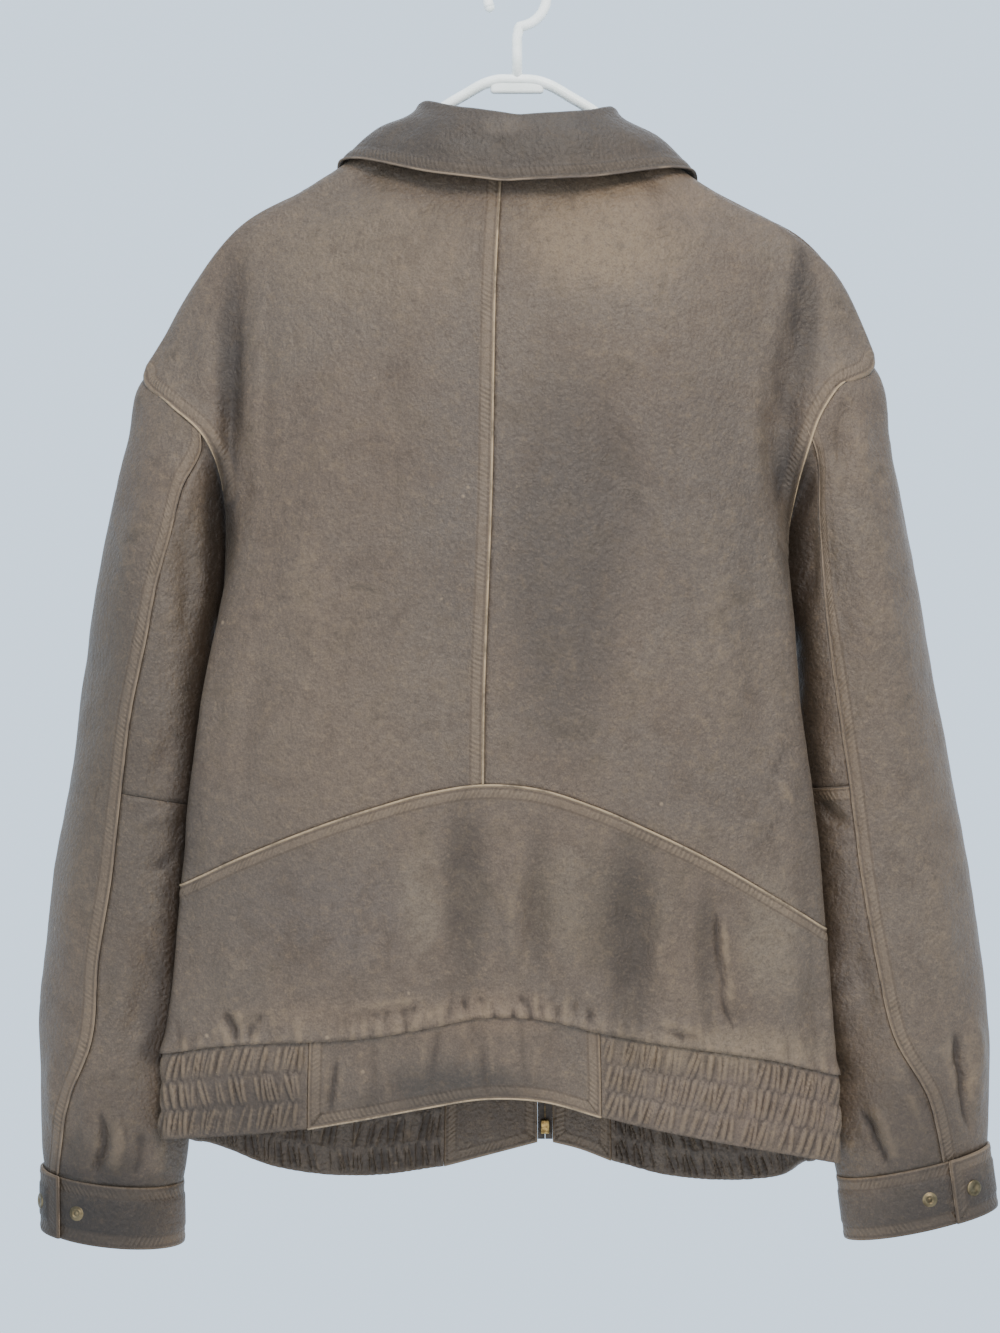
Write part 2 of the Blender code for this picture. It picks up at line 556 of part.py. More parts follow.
def sleevePoint(side, station, angle):
    """A point of the sleeve's skin. Angles run from the outer side over the back (0 to pi) to the inner side."""
    edge, leave = armhole(side, angle)
    if station == 0:
        return edge + leave * ARMHOLE_FREE
    if station == len(SLEEVE[side]) - 1:
        return cuffPoint(side, angle, 0, CUFF_INSET)[0] + np.array([0, 0, 0.5])
    here = loop(side, station, angle)
    if station < len(BLEND):
        here = here + (edge - loop(side, 0, angle)) * BLEND[station]
    if station == 1:
        return edge + leave * LEAVE + (here - edge) * 0.02
    return here


def seamAngle(side, station):
    """Where the seam down the back of the sleeve crosses a section."""
    if station < 2:
        return armholeAngle(side, SEAM_START[side], "back") + station * 0.04
    best = (1e9, 0)
    for degrees in np.arange(10, 150, 0.5):
        angle = math.radians(degrees)
        x, _, z = sleevePoint(side, station, angle)
        best = min(best, (abs(x - along(SLEEVE_SEAM[side], z, 1, 0)), angle))
    return best[1]


def trimmed(line):
    """A section's angles, drawn in at both seams, with one more beside each."""
    start = [line[0] + SLEEVE_TRIM, line[0] + 3 * NARROW]
    end = [line[-1] - 3 * NARROW, line[-1] - SLEEVE_TRIM]
    return start + line[1:-1] + end


def makeSleeves(collection):
    turn = 2 * math.pi
    for side, word in ((-1, "left"), (1, "right")):
        last = len(SLEEVE[side]) - 1
        levels = [z for z in LEVELS[side] if UNDERARM_Z < z <= SLEEVE[side][0][0]]
        back = [armholeAngle(side, z, "back") for z in levels]
        round_front = [turn + armholeAngle(side, z, "front") for z in levels]
        seam = armholeAngle(side, SEAM_START[side], "back")
        front = armholeAngle(side, FRONT_SEAM_START, "front")
        over_at = [a - turn for a in round_front[::-1] if a - turn >= front - 1e-6]
        over_at += [a for a in back[1:] if a <= seam + 1e-6]
        under_at = [a for a in back if a >= seam - 1e-6] + [math.pi]
        under_at += [a for a in round_front[::-1] if a <= front + turn + 1e-6]
        over, under = [], []
        for k in range(last + 1):
            angle = seamAngle(side, k)
            stretch = (angle - front) / (seam - front)
            line = [front + (a - front) * stretch for a in over_at]
            line = trimmed(line)
            over.append([sleevePoint(side, k, a) for a in line])
            stretch = (front + turn - angle) / (front + turn - seam)
            line = [angle + (a - seam) * stretch for a in under_at]
            line = trimmed(line)
            under.append([sleevePoint(side, k, a) for a in line])
        drop = np.array([0, 0, SEAM / 2])
        upper = under[: ELBOW + 1]
        lower = under[ELBOW:]
        upper[-1] = [p + drop for p in upper[-1]]
        lower[0] = [p - drop for p in lower[0]]
        sheet(f"sleeve_over_{word}", over, WALL, "leather", collection, (side, 0, 0))
        sheet(f"sleeve_under_upper_{word}", upper, WALL, "leather", collection, (-side, 0, 0))
        sheet(f"sleeve_under_lower_{word}", lower, WALL, "leather", collection, (-side, 0, 0))


def cuffPoint(side, angle, v, lift=0.0):
    """A point of the cuff, and its outward direction, at an angle round it and a share of its height."""
    cuff = CUFF[side]
    o, i = np.array(cuff["outer"], float), np.array(cuff["inner"], float)
    middle = (o + i) / 2 + np.array(cuff["drop"]) * v
    reach = (o - i) / 2
    length = float(np.linalg.norm(reach))
    x, z = middle + reach * (1 + lift / length) * math.cos(angle)
    y = CUFF_Y - (cuff["half_depth"] + lift) * math.sin(angle)
    z -= cuff["back_drop"] * math.sin(angle)
    slope = np.array([reach[0] / length * math.cos(angle) / length, -math.sin(angle) / cuff["half_depth"], 0])
    return np.array([x, y, z]), unit(slope)


def makeCuffs(collection):
    turn = 2 * math.pi
    for side, word in ((-1, "left"), (1, "right")):
        cuff = CUFF[side]
        tab = math.radians(cuff["tab"])
        under = math.radians(TAB_UNDER)
        # from the tab's end, back over the outer side and all round, to the end beneath the tab
        grid = []
        for v in np.linspace(0, 1, 3):
            line = []
            for a in np.linspace(tab, tab - turn - under, 30):
                sunk = min(max((tab - a) / TAB_SLOPE, 0), 1)
                sunk = sunk * sunk * (3 - 2 * sunk)
                line.append(cuffPoint(side, a, v, TAB_LIFT * (1 - sunk) + CUFF_INSET)[0])
            grid.append(line)
        sheet(f"cuff_{word}", grid, CUFF_WALL, "leather", collection, (0, -1, 0))
        for kind, radius, height in (("cap", CAP_R, CAP_H), ("stud", STUD_R, STUD_H)):
            angle = math.radians(cuff[kind])
            lift = TAB_LIFT - cuff["cap_sunk"] if kind == "cap" else 0
            point, out = cuffPoint(side, angle, SNAP_SHARE, lift + CUFF_INSET)
            seat = CUFF_WALL / 2 + SNAP_GAP[kind]
            disc(f"snap_{kind}_{word}", point + out * seat, out, radius, height, kind, collection)


def disc(name, foot, out, radius, height, kind, collection):
    """A turned snap part standing on the leather: a domed cap, or a ring with a hole."""
    if kind == "cap":
        profile = [(0, 0), (radius, 0), (radius, height * 0.45), (radius * 0.8, height * 0.85), (0, height)]
    else:
        profile = [(1.1, 0), (radius, 0), (radius, height * 0.6), (radius * 0.55, height), (1.1, height)]
    mesh = bpy.data.meshes.new(name)
    bm = bmesh.new()
    closed = kind == "stud"
    verts = [bm.verts.new((r * MM, 0, h * MM)) for r, h in profile]
    edges = [bm.edges.new(pair) for pair in zip(verts, verts[1:])]
    if closed:
        edges.append(bm.edges.new((verts[-1], verts[0])))
    bmesh.ops.spin(bm, geom=verts + edges, cent=(0, 0, 0), axis=(0, 0, 1), angle=2 * math.pi, steps=24,
                   use_merge=True)
    bmesh.ops.remove_doubles(bm, verts=bm.verts, dist=1e-6)
    bmesh.ops.recalc_face_normals(bm, faces=bm.faces)
    bm.to_mesh(mesh)
    bm.free()
    mesh.shade_smooth()
    mesh.set_sharp_from_angle(angle=math.radians(30))
    thing = place(name, mesh, "brass", collection)
    turn = Vector(out).to_track_quat("Z", "Y").to_matrix().to_4x4()
    thing.matrix_world = Matrix.Translation(Vector(foot) * MM) @ turn
    return thing


# Collar

def makeCollar(collection):
    deep, inwards, outwards, crest = (COLLAR_ROLL * k for k in ROLL_SHAPE)
    halves = []
    for side in (-1, 1):
        lines = {name: spline(points, COLLAR_STEPS) for name, points in COLLAR[side].items()}
        halves.append(lines)
    profile = []
    total = len(halves[0]["neck"])
    for side_index in (0, 1):
        lines = halves[side_index]
        part = []
        for k in range(total):
            neck, fold, edge = lines["neck"][k], lines["fold"][k], lines["edge"][k]
            away = unit(np.array([edge[0] - neck[0], edge[1] - neck[1], 0]))
            up = np.array([0, 0, 1.0])
            inside = fold - up * deep - away * inwards
            outside = fold - up * deep + away * outwards
            crown = fold + away * crest
            mid = (outside + edge) / 2 + away * COLLAR_BOW[0] + up * COLLAR_BOW[1]
            low = neck * 0.5 + inside * 0.5
            part.append([neck, low, inside, crown, outside, mid, edge])
        profile.append(part)
    across = profile[0][:0:-1] + profile[1]
    grid = [[section[j] for section in across] for j in range(7)]
    sheet("collar", grid, WALL, "leather", collection, (0, 1, 0))


# Zip

def zipPoint(z, out=0.0):
    """A point on the zip's line, in front of the tapes by out."""
    return skin(-1, "front", 0.0, z) + np.array([0, out, 0])


def makeZip(collection, cutters):
    for side, word in ((-1, "left"), (1, "right")):
        grid = []
        for z in np.linspace(NECK_FRONT - 3, ZIP_FOOT, 18):
            middle = zipPoint(z)
            open_by = max(0.0, (z - ZIP_TOP) / ZIP_OPENING[0]) * ZIP_OPENING[1]
            near = middle + np.array([side * (SEAM / 2 + open_by), 0, 0])
            far = middle + np.array([side * (ZIP_TAPE - SEAM), 0, 0])
            grid.append([near, far])
        sheet(f"zip_tape_{word}", grid, ZIP_WALL, "tape", collection, (0, 1, 0))
    face = zipPoint(ZIP_TOP, ZIP_WALL / 2 + ZIP_CLEAR)
    slider = box("zip_slider", face + np.array([0, SLIDER[1] / 2, 0]), SLIDER, 0.6, collection)
    # The pull hangs from a pin between two cheeks on the slider's face.
    pin = face + np.array([0, SLIDER[1] + PIN_OUT, PIN_UP])
    for x in (-CHEEK_X, CHEEK_X):
        tool = box("cheek", pin + np.array([x, -CHEEK_BACK, 0]), CHEEK, 0.3, cutters)
        unite(slider, tool)
    pull = box("zip_pull", pin - np.array([0, 0, PULL_EYE_DROP]), PULL_EYE, 0.3, collection, pin)
    unite(pull, box("pull_leaf", pin - np.array([0, 0, PULL_LEAF_DROP]), PULL_LEAF, 0.5, cutters))
    foot = zipPoint(ZIP_BOX_Z, -(ZIP_WALL / 2 + ZIP_BOX_GAP) - ZIP_BOX[1] / 2)
    box("zip_box", foot, ZIP_BOX, 0.6, collection)


def unite(thing, tool):
    tool.hide_render = True
    tool.display_type = "WIRE"
    join = thing.modifiers.new("join", "BOOLEAN")
    join.operation = "UNION"
    join.solver = "EXACT"
    join.object = tool


def box(name, centre, size, bevel, collection, pivot=None):
    mesh = bpy.data.meshes.new(name)
    bm = bmesh.new()
    bmesh.ops.create_cube(bm, size=1.0)
    bmesh.ops.scale(bm, vec=Vector(size) * MM, verts=bm.verts)
    origin = Vector(pivot if pivot is not None else centre)
    bmesh.ops.translate(bm, vec=(Vector(centre) - origin) * MM, verts=bm.verts)
    bmesh.ops.bevel(bm, geom=bm.edges, offset=bevel * MM, segments=2, profile=0.5, affect="EDGES", material=-1)
    bm.to_mesh(mesh)
    bm.free()
    thing = place(name, mesh, "brass", collection)
    thing.location = origin * MM
    return thing


# Hanger

def tube(name, points, radius, collection):
    curve = bpy.data.curves.new(name, "CURVE")
    curve.dimensions = "3D"
    curve.bevel_depth = radius * MM
    curve.bevel_resolution = 1
    curve.use_fill_caps = True
    line = curve.splines.new("POLY")
    line.points.add(len(points) - 1)
    for point, place_at in zip(line.points, points):
        point.co = (*(Vector(place_at) * MM), 1.0)
    thing = bpy.data.objects.new(name, curve)
    collection.objects.link(thing)
    bpy.context.view_layer.update()
    seen = thing.evaluated_get(bpy.context.evaluated_depsgraph_get())
    mesh = bpy.data.meshes.new_from_object(seen)
    bm = bmesh.new()
    bm.from_mesh(mesh)
    bmesh.ops.remove_doubles(bm, verts=bm.verts, dist=1e-6)
    bmesh.ops.recalc_face_normals(bm, faces=bm.faces)
    bm.to_mesh(mesh)
    bm.free()
    bpy.data.objects.remove(thing)
    made = bpy.data.objects.new(name, mesh)
    collection.objects.link(made)
    return made


def makeHanger(collection, cutters):
    left, right = ([(p[0], 0, p[1]) for p in spline(ARMS[side], 2)] for side in (-1, 1))
    bar = tube("hanger", left[::-1] + right, TUBE_R, collection)
    top = -HOOK_R + HOOK_TUBE_R
    turns = np.radians(np.linspace(HOOK_START, -90, 25))
    arc = [(HOOK_R * math.cos(a), 0, top + HOOK_R * math.sin(a)) for a in turns]
    stem = arc[:-1] + [(HOOK_NECK[0], 0, top - HOOK_R - HOOK_NECK[1])]
    stem += [(0, 0, z) for z in (top - HOOK_R - STEM[0], STEM[1], STEM[2])]
    hook = tube("hook", stem, HOOK_TUBE_R, cutters)
    web = box("web", (0, 0, WEB_Z), WEB, 2.0, cutters)
    bar.data.materials.append(material("plastic"))
    for tool in (hook, web):
        unite(bar, tool)
    bar.data.shade_smooth()
    bar.data.set_sharp_from_angle(angle=math.radians(40))
    return bar


def main():
    for thing in list(bpy.data.objects):
        bpy.data.objects.remove(thing)
    scene = bpy.context.scene
    jacket = bpy.data.collections.new("leather_jacket")
    cutters = bpy.data.collections.new("cutters")
    scene.collection.children.link(jacket)
    scene.collection.children.link(cutters)
    makeBody(jacket)
    makeBand(jacket)
    makeSleeves(jacket)
    makeCuffs(jacket)
    makeCollar(jacket)
    makeZip(jacket, cutters)
    makeHanger(jacket, cutters)


main()
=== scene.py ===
# Worn leather jacket on a white tubular hanger, seen from its back
import bisect
import functools
import math
import random
import bmesh
import bpy
import numpy as np
from mathutils import Matrix, Vector, noise
from mathutils.bvhtree import BVHTree


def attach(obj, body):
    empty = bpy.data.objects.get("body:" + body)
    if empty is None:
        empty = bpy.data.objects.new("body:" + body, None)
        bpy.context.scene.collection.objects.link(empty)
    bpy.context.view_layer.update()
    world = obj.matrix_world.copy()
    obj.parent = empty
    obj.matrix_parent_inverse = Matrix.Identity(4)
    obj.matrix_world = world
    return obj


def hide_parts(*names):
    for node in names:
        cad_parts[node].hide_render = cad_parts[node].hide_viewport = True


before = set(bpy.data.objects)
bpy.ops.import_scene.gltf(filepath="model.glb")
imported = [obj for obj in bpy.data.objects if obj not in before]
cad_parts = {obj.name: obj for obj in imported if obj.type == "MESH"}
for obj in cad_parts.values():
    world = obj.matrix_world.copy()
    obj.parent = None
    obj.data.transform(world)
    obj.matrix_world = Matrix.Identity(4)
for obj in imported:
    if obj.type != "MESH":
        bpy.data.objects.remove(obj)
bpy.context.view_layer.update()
mm = 0.001
noise.seed_set(1)  # so that the folds sway the same way each time

camera = {"place": (-12.75, -2400, -520), "lens": 86.4, "sensor": 36}
cameraData = bpy.data.cameras.new("camera")
cameraData.lens = camera["lens"]
cameraData.sensor_width = camera["sensor"]
cameraObject = bpy.data.objects.new("camera", cameraData)
bpy.context.scene.collection.objects.link(cameraObject)
cameraObject.location = Vector(camera["place"]) * mm
cameraObject.rotation_euler = (math.radians(90), 0, 0)
bpy.context.scene.camera = cameraObject

studio = {
    "sky": "#bccee1", "skyStrength": 2.2,
    "floor": "#dfe3e6", "floorDrop": 1500, "floorRadius": 2200,
    "lamps": (  # name, place, aim, size, watts, colour
        ("key", (500, -2100, 1200), (0, 0, -500), 0.9, 74, "#fff2e2"),
        ("fill", (-1900, -2100, 300), (0, 0, -500), 2.2, 8, "#eef4ff"),
        ("low", (-200, -2300, -950), (0, 0, -850), 1.6, 16, "#fff0e0"),
        ("top", (200, -300, 1500), (0, 0, -300), 1.5, 16, "#ffffff"),
        ("behind", (300, 2300, 500), (0, 0, -500), 2.4, 22, "#f2f6ff"),
    ),
}


def tone(text):  # sRGB hex to linear
    parts = [int(text[i:i + 2], 16) / 255 for i in (1, 3, 5)]
    return [c / 12.92 if c <= 0.04045 else ((c + 0.055) / 1.055) ** 2.4 for c in parts]


# Adds a node with its settings and links, and gives one of its outputs; colours are sRGB hex
def addNode(tree, kind, inputs, out=0, **settings):
    node = tree.nodes.new(kind)
    for key, value in settings.items():
        setattr(node, key, value)
    for key, value in inputs.items():
        if isinstance(value, bpy.types.NodeSocket):
            tree.links.new(value, node.inputs[key])
        else:
            node.inputs[key].default_value = (*tone(value), 1) if isinstance(value, str) else value
    return node.outputs[out]


def mathNode(tree, operation, *values):
    return addNode(tree, "ShaderNodeMath", dict(enumerate(values)), operation=operation)


def rampNode(tree, value, low, high, least=0.0, most=1.0, **settings):
    inputs = {"Value": value, "From Min": low, "From Max": high, "To Min": least, "To Max": most}
    return addNode(tree, "ShaderNodeMapRange", inputs, **settings)


def newMaterial(name, roughness, metallic=0.0, ior=1.45):
    made = bpy.data.materials.new(name)
    made.use_nodes = True
    tree = made.node_tree
    shader = tree.nodes["Principled BSDF"]
    shader.inputs["Roughness"].default_value = roughness
    shader.inputs["Metallic"].default_value = metallic
    if not metallic:
        shader.inputs["IOR"].default_value = ior
    return made, tree, shader


# Lays hues over a colour, each where its value passes from low to high, up to its greatest share
def layered(tree, colour, layers):
    for value, low, high, most, hue in layers:
        share = rampNode(tree, value, low, high, most=most, interpolation_type="SMOOTHSTEP")
        colour = addNode(tree, "ShaderNodeMix", {0: share, 6: colour, 7: hue}, out=2, data_type="RGBA")
    return colour


# A mesh from a bmesh, which ends there
def meshFrom(name, bm, smooth=True):
    for face in bm.faces:
        face.smooth = smooth
    mesh = bpy.data.meshes.new(name)
    bm.to_mesh(mesh)
    bm.free()
    return mesh


world = bpy.data.worlds.new("studio")
world.use_nodes = True
world.node_tree.nodes["Background"].inputs["Color"].default_value = (*tone(studio["sky"]), 1)
world.node_tree.nodes["Background"].inputs["Strength"].default_value = studio["skyStrength"]
bpy.context.scene.world = world
for name, place, aim, size, watts, colour in studio["lamps"]:
    lamp = bpy.data.lights.new(name, "AREA")
    lamp.size, lamp.energy, lamp.color = size, watts, tone(colour)
    lampObject = bpy.data.objects.new(name, lamp)
    lampObject.location = Vector(place) * mm
    lampObject.rotation_euler = ((Vector(aim) - Vector(place)).to_track_quat("-Z", "Y")).to_euler()
    bpy.context.scene.collection.objects.link(lampObject)

floorBm = bmesh.new()
bmesh.ops.create_circle(floorBm, cap_ends=True, segments=96, radius=studio["floorRadius"] * mm,
                        matrix=Matrix.Translation((0, 0, -studio["floorDrop"] * mm)))
floorMesh = meshFrom("floor", floorBm, smooth=False)
# Matt painted floorboard: a pale even emulsion with a barely seen roller texture
floorPaint, floorTree, floorShader = newMaterial("mattPaintedFloor", 0.8)
floorCoords = addNode(floorTree, "ShaderNodeTexCoord", {}, "Object")
floorCloud = addNode(floorTree, "ShaderNodeTexNoise", {"Vector": floorCoords, "Scale": 3.0, "Detail": 3.0})
floorHue = layered(floorTree, studio["floor"], ((floorCloud, 0.35, 0.65, 0.5, "#d6dbdf"),))
floorTree.links.new(floorHue, floorShader.inputs["Base Color"])
floorMesh.materials.append(floorPaint)
floorObject = bpy.data.objects.new("floor", floorMesh)
bpy.context.scene.collection.objects.link(floorObject)
print("camera, lights and floor placed")


# The jacket's own form, in millimetres: grids of points for each wall, and the seats of the snaps
grids = {}
snapSeats = {}


def keepGrid(name, grid, wall, outward):
    grids[name] = (np.array(grid, float), wall, outward)


seamGap = 0.35  # between two pieces along a seam
edgeFree = 0.85  # left by each panel along its curved outer edge
leatherWall = 1.8
bandWall = 3.0  # two layers and the elastic between them
bandEndWall = 2.4
# Shoulder line, from the neck out to the armhole: x and height z of the fold over the hanger
shoulderPoints = {
    -1: [(-84, -112.5), (-100, -122), (-134, -148.5), (-180, -174), (-208, -191), (-238, -229.5),
         (-259, -267), (-278.6, -303)],
    1: [(84, -117.5), (100, -130), (134, -158), (180, -180), (202.5, -194), (223.5, -207), (244, -237.5),
        (258, -267), (266, -294)],
}
# Back half of a section at height z: the fold edge where the body turns away, the dip beside the sleeve,
# the flap beyond it and the edge (armhole, then side seam). tuck is 1 where the side is turned under.
backColumns = ("z", "foldX", "dipX", "flapX", "edgeX", "edgeY", "tuck")
backRows = {
    -1: [
        (-112.5, -52, -72, -82.6, -84, 0, 0), (-148.5, -98, -122, -132.6, -134, 0, 0),
        (-174, -150, -168, -178.6, -180, 0, 0), (-191, -172, -195, -206.6, -208, 0, 0),
        (-229.5, -195, -210, -236.8, -238, 0, 0), (-267, -198, -214, -257.8, -259, 0, 0),
        (-303, -199, -216, -273, -278.6, 0, 0), (-334, -199, -217, -236, -249, -29, 0),
        (-360, -199, -213, -220, -224.6, -20, 0.2), (-378, -198.5, -211, -217, -219.4, -14, 0.6),
        (-430, -206, -212, -216, -216, -12, 1), (-468, -216, -219, -219, -216, -10, 1),
        (-490, -221, -223, -221, -216, 2, 1), (-530, -229.5, -230, -226, -217, -14, 1),
        (-573, -236.4, -235.5, -231, -222.5, -24, 1), (-683, -247.5, -246, -241.5, -233.5, -26, 1),
        (-766, -255, -253.5, -249, -241, -26, 1), (-807, -261, -259.5, -255, -247, -25, 1),
        (-895, -263, -261.5, -257, -249, -25, 1),
    ],
    1: [
        (-117.5, 52, 72, 82.6, 84, 0, 0), (-158, 98, 122, 132.6, 134, 0, 0),
        (-180, 143, 167, 178.6, 180, 0, 0),
        (-194, 170, 190, 201.1, 202.5, 0, 0), (-207, 184, 208, 222, 223.5, 0, 0),
        (-237.5, 188, 211, 242.8, 244, 0, 0), (-267, 186, 207, 256.8, 258, 0, 0),
        (-294, 184, 202, 262, 266, 0, 0), (-316.7, 183, 196, 222, 235, -28, 0),
        (-344.5, 184, 194, 209, 220.5, -24, 0), (-376, 188, 196, 205, 211, -17, 0.4),
        (-410, 192, 198, 201, 202, -14, 1), (-440, 197, 200, 201, 200, -12, 1),
        (-468, 200.5, 202.5, 202, 199, -10, 1), (-490, 203, 204.5, 203, 199, 2, 1),
        (-530, 206, 206, 203, 197, -14, 1), (-573, 213, 212, 208, 201, -24, 1),
        (-683, 224, 222.5, 218, 210, -26, 1), (-766, 231, 229.5, 225, 217, -26, 1),
        (-820, 236, 234.5, 230, 222, -25, 1), (-895, 238, 236.5, 232, 224, -25, 1),
    ],
}
# Front half of the same sections: where the front rolls, its side wall, and the turn towards the seam
frontColumns = ("z", "rollX", "wallX", "turnX", "edgeX", "edgeY", "tuck")
frontRows = {
    -1: [
        (-112.5, -58, -74, -82.6, -84, 0, 0), (-148.5, -100, -122, -132.6, -134, 0, 0),
        (-191, -172, -195, -206.6, -208, 0, 0), (-229.5, -198, -220, -236.8, -238, 0, 0),
        (-267, -208, -236, -257.8, -259, 0, 0), (-303, -212, -240, -273, -278.6, 0, 0),
        (-325, -208, -228, -246, -258, 27, 0), (-360, -203, -217, -226, -232, 33, 0.3),
        (-430, -196, -206, -212, -215, 24, 1), (-468, -196, -208, -214, -216, 15, 1),
        (-490, -196, -209, -214, -216, 2, 1), (-530, -197, -211, -214, -217, -14, 1),
        (-573, -198, -212, -215, -222.5, -24, 1), (-683, -202, -217, -223, -233.5, -26, 1),
        (-766, -208, -224, -230, -241, -26, 1), (-807, -212, -229, -235, -247, -25, 1),
        (-895, -218, -236, -241, -249, -25, 1),
    ],
    1: [
        (-117.5, 58, 74, 82.6, 84, 0, 0), (-158, 100, 122, 132.6, 134, 0, 0),
        (-194, 165, 188, 201.1, 202.5, 0, 0),
        (-237.5, 192, 220, 242.8, 244, 0, 0), (-267, 198, 230, 256.8, 258, 0, 0),
        (-294, 200, 230, 262, 266, 0, 0),
        (-318, 196, 216, 233, 244, 27, 0), (-355, 190, 204, 214, 220, 32, 0.3),
        (-430, 180, 190, 196, 200, 24, 1), (-468, 179, 191, 197, 199, 15, 1),
        (-490, 179, 192, 197, 199, 2, 1),
        (-530, 180, 193, 196, 197, -14, 1), (-573, 181, 195, 197, 201, -24, 1),
        (-683, 186, 201, 204, 210, -26, 1), (-766, 193, 208, 211, 217, -26, 1),
        (-820, 197, 213, 216, 222, -25, 1), (-895, 202, 217, 220, 224, -25, 1),
    ],
}
underarmZ = -490
sideZ = -650  # a height halfway down the side seam
waistZ = -800  # a height at the waist seam
crestRoll = 7.0  # half the flat top of the shoulder over the hanger arm
rollDrop = 9.0
crestStep = 1.3  # from the crest to the panels' next point, sideways
bodyGrowth = 90.0  # how fast the body deepens below the shoulder
backDepth = [(-120, 60), (-300, 62), (-480, 68), (-640, 68), (-760, 62), (-900, 58)]  # height, back depth
frontDepth = [(-120, 64), (-480, 68), (-760, 62), (-900, 58)]
sideFall = 0.42  # share of the depth lost at the fold edge
turnShares = (0.62, 0.30)  # where dip and flap lie between the fold's depth and the edge's

# Seams that run across the body: x and height
centreBack = [(-11.5, -148), (-16.5, -250), (-18.6, -380), (-25, -592), (-25, -900)]
zipLine = [(-3, -150), (-3, -205), (22, -880), (22, -900)]
neckBack = -148  # height at the centre back
neckFront = -205
archLine = [(-246, -681), (-199, -658), (-127, -630), (-54, -610), (-18, -606), (31, -612), (60, -623),
        (133, -656), (206, -700), (228, -715)]
waistBack = [(-262, -806), (-205, -797), (-127, -793), (-54, -782), (-8, -774.5), (53, -786), (119, -798),
              (178, -807), (236, -822)]
hemBack = [(-262, -869), (-150, -857.6), (-75, -843.5), (-13, -835), (31, -839), (61, -849), (119.5, -862.7),
            (198, -878.4), (236, -887)]
waistFront = [(-247, -804), (-180, -838), (-125, -847), (-50, -838), (22, -823), (90, -842), (140, -850),
               (190, -846), (222, -818.5)]
hemFront = [(-249, -868), (-180, -903), (-125, -912), (-50, -904), (22, -886), (90, -906), (140, -914),
             (190, -911), (224, -884)]

# Heights of the panels' rows where they meet the armhole and the side seam; the armhole's are also the
# sleeve's columns.
rowLevels = {
    -1: (-130, -155, -191, -229.5, -267, -303, -325, -350, -378, -415, -450, -475, -490, -530, -600),
    1: (-136, -165, -194, -222, -255, -294, -313, -333, -355, -385, -415, -450, -475, -490, -530, -610),
}
frontExtra = (-690,)
seamStart = {-1: -350, 1: -355}  # where the seam down the back of the sleeve leaves the armhole
frontSeamStart = -415
backShares = {
    -1: (0, 0.1, 0.2, 0.3, 0.4, 0.5, 0.59, 0.667, 0.74, 0.82, 0.89, 0.95, 1),
    1: (0, 0.09, 0.183, 0.28, 0.38, 0.48, 0.58, 0.667, 0.74, 0.82, 0.89, 0.95, 1),
}
frontShares = {
    -1: (0, 0.094, 0.188, 0.32, 0.45, 0.56, 0.667, 0.76, 0.83, 0.89, 0.95, 1),
    1: (0, 0.082, 0.164, 0.3, 0.43, 0.55, 0.667, 0.76, 0.83, 0.89, 0.95, 1),
}
bandCut = {(-1, "back"): 3, (1, "back"): 2, (-1, "front"): 2, (1, "front"): 2}  # columns at the band's seams

# Sleeve silhouettes: x and height
sleeveOuter = {
    -1: [(-278.6, -303), (-289, -337), (-298.5, -378), (-310, -427.5), (-319.5, -483), (-327, -536),
         (-338, -620), (-349.5, -682.5), (-356.7, -759), (-360, -809), (-357, -865), (-355, -893)],
    1: [(266, -294), (272, -314), (279, -342), (287, -380), (294, -417), (306, -482), (320, -560),
        (328.5, -606), (340.5, -671), (351, -737), (355, -782), (355, -829.5), (354, -876)],
}
sleeveInner = {
    -1: [(-216, -470), (-223, -486), (-225, -510), (-223, -545), (-222, -600), (-227, -680), (-234, -760),
         (-243, -840), (-250, -905)],
    1: [(199, -470), (206, -486), (210, -510), (209, -545), (209, -600), (214, -680), (221, -760),
        (231, -840), (240, -902)],
}
# Sleeve sections from armhole to cuff: height on the outer and the inner side, middle depth, half depth
sleeveRows = {
    -1: [(-303, -490, 2, 30), (-322, -485.5, 3, 36), (-350, -486.5, 5, 41), (-385, -492, 7, 46),
         (-430, -505, 9, 50), (-480, -527, 12, 53), (-540, -566, 14, 55), (-606, -626, 15, 56),
         (-672, -684, 15, 56), (-735, -742, 14, 55), (-795, -800, 12, 52), (-845, -852, 9, 46),
         (-893, -904, 5, 37)],
    1: [(-294, -490, 2, 30), (-314, -485.5, 3, 36), (-344, -486.5, 5, 41), (-380, -492, 7, 46),
        (-425, -505, 9, 50), (-475, -525, 12, 53), (-535, -562, 14, 55), (-600, -612, 15, 56),
        (-668, -680, 15, 56), (-728, -740, 14, 55), (-785, -800, 12, 50), (-832, -852, 9, 43),
        (-876, -901, 5, 33)],
}
elbowRow = 7  # the section of the cross seam
armholeBlend = (1.0, 0.9, 0.72, 0.5, 0.28, 0.1)  # how much the armhole's curve still shows in each section
followLength = 4.5  # how far the sleeve first follows the body's slope
armpit = (440.0, 42.0)  # the drop where the sleeve starts to leave upwards, and the length this takes
shoulderTip = 14.0  # length below the shoulder's tip where the sleeve leaves downwards
armholeFree = 1.75  # left by the sleeve along the armhole
sleeveTrim = seamGap / 2 / 30  # radians left along a sleeve's seam, at its smallest radius
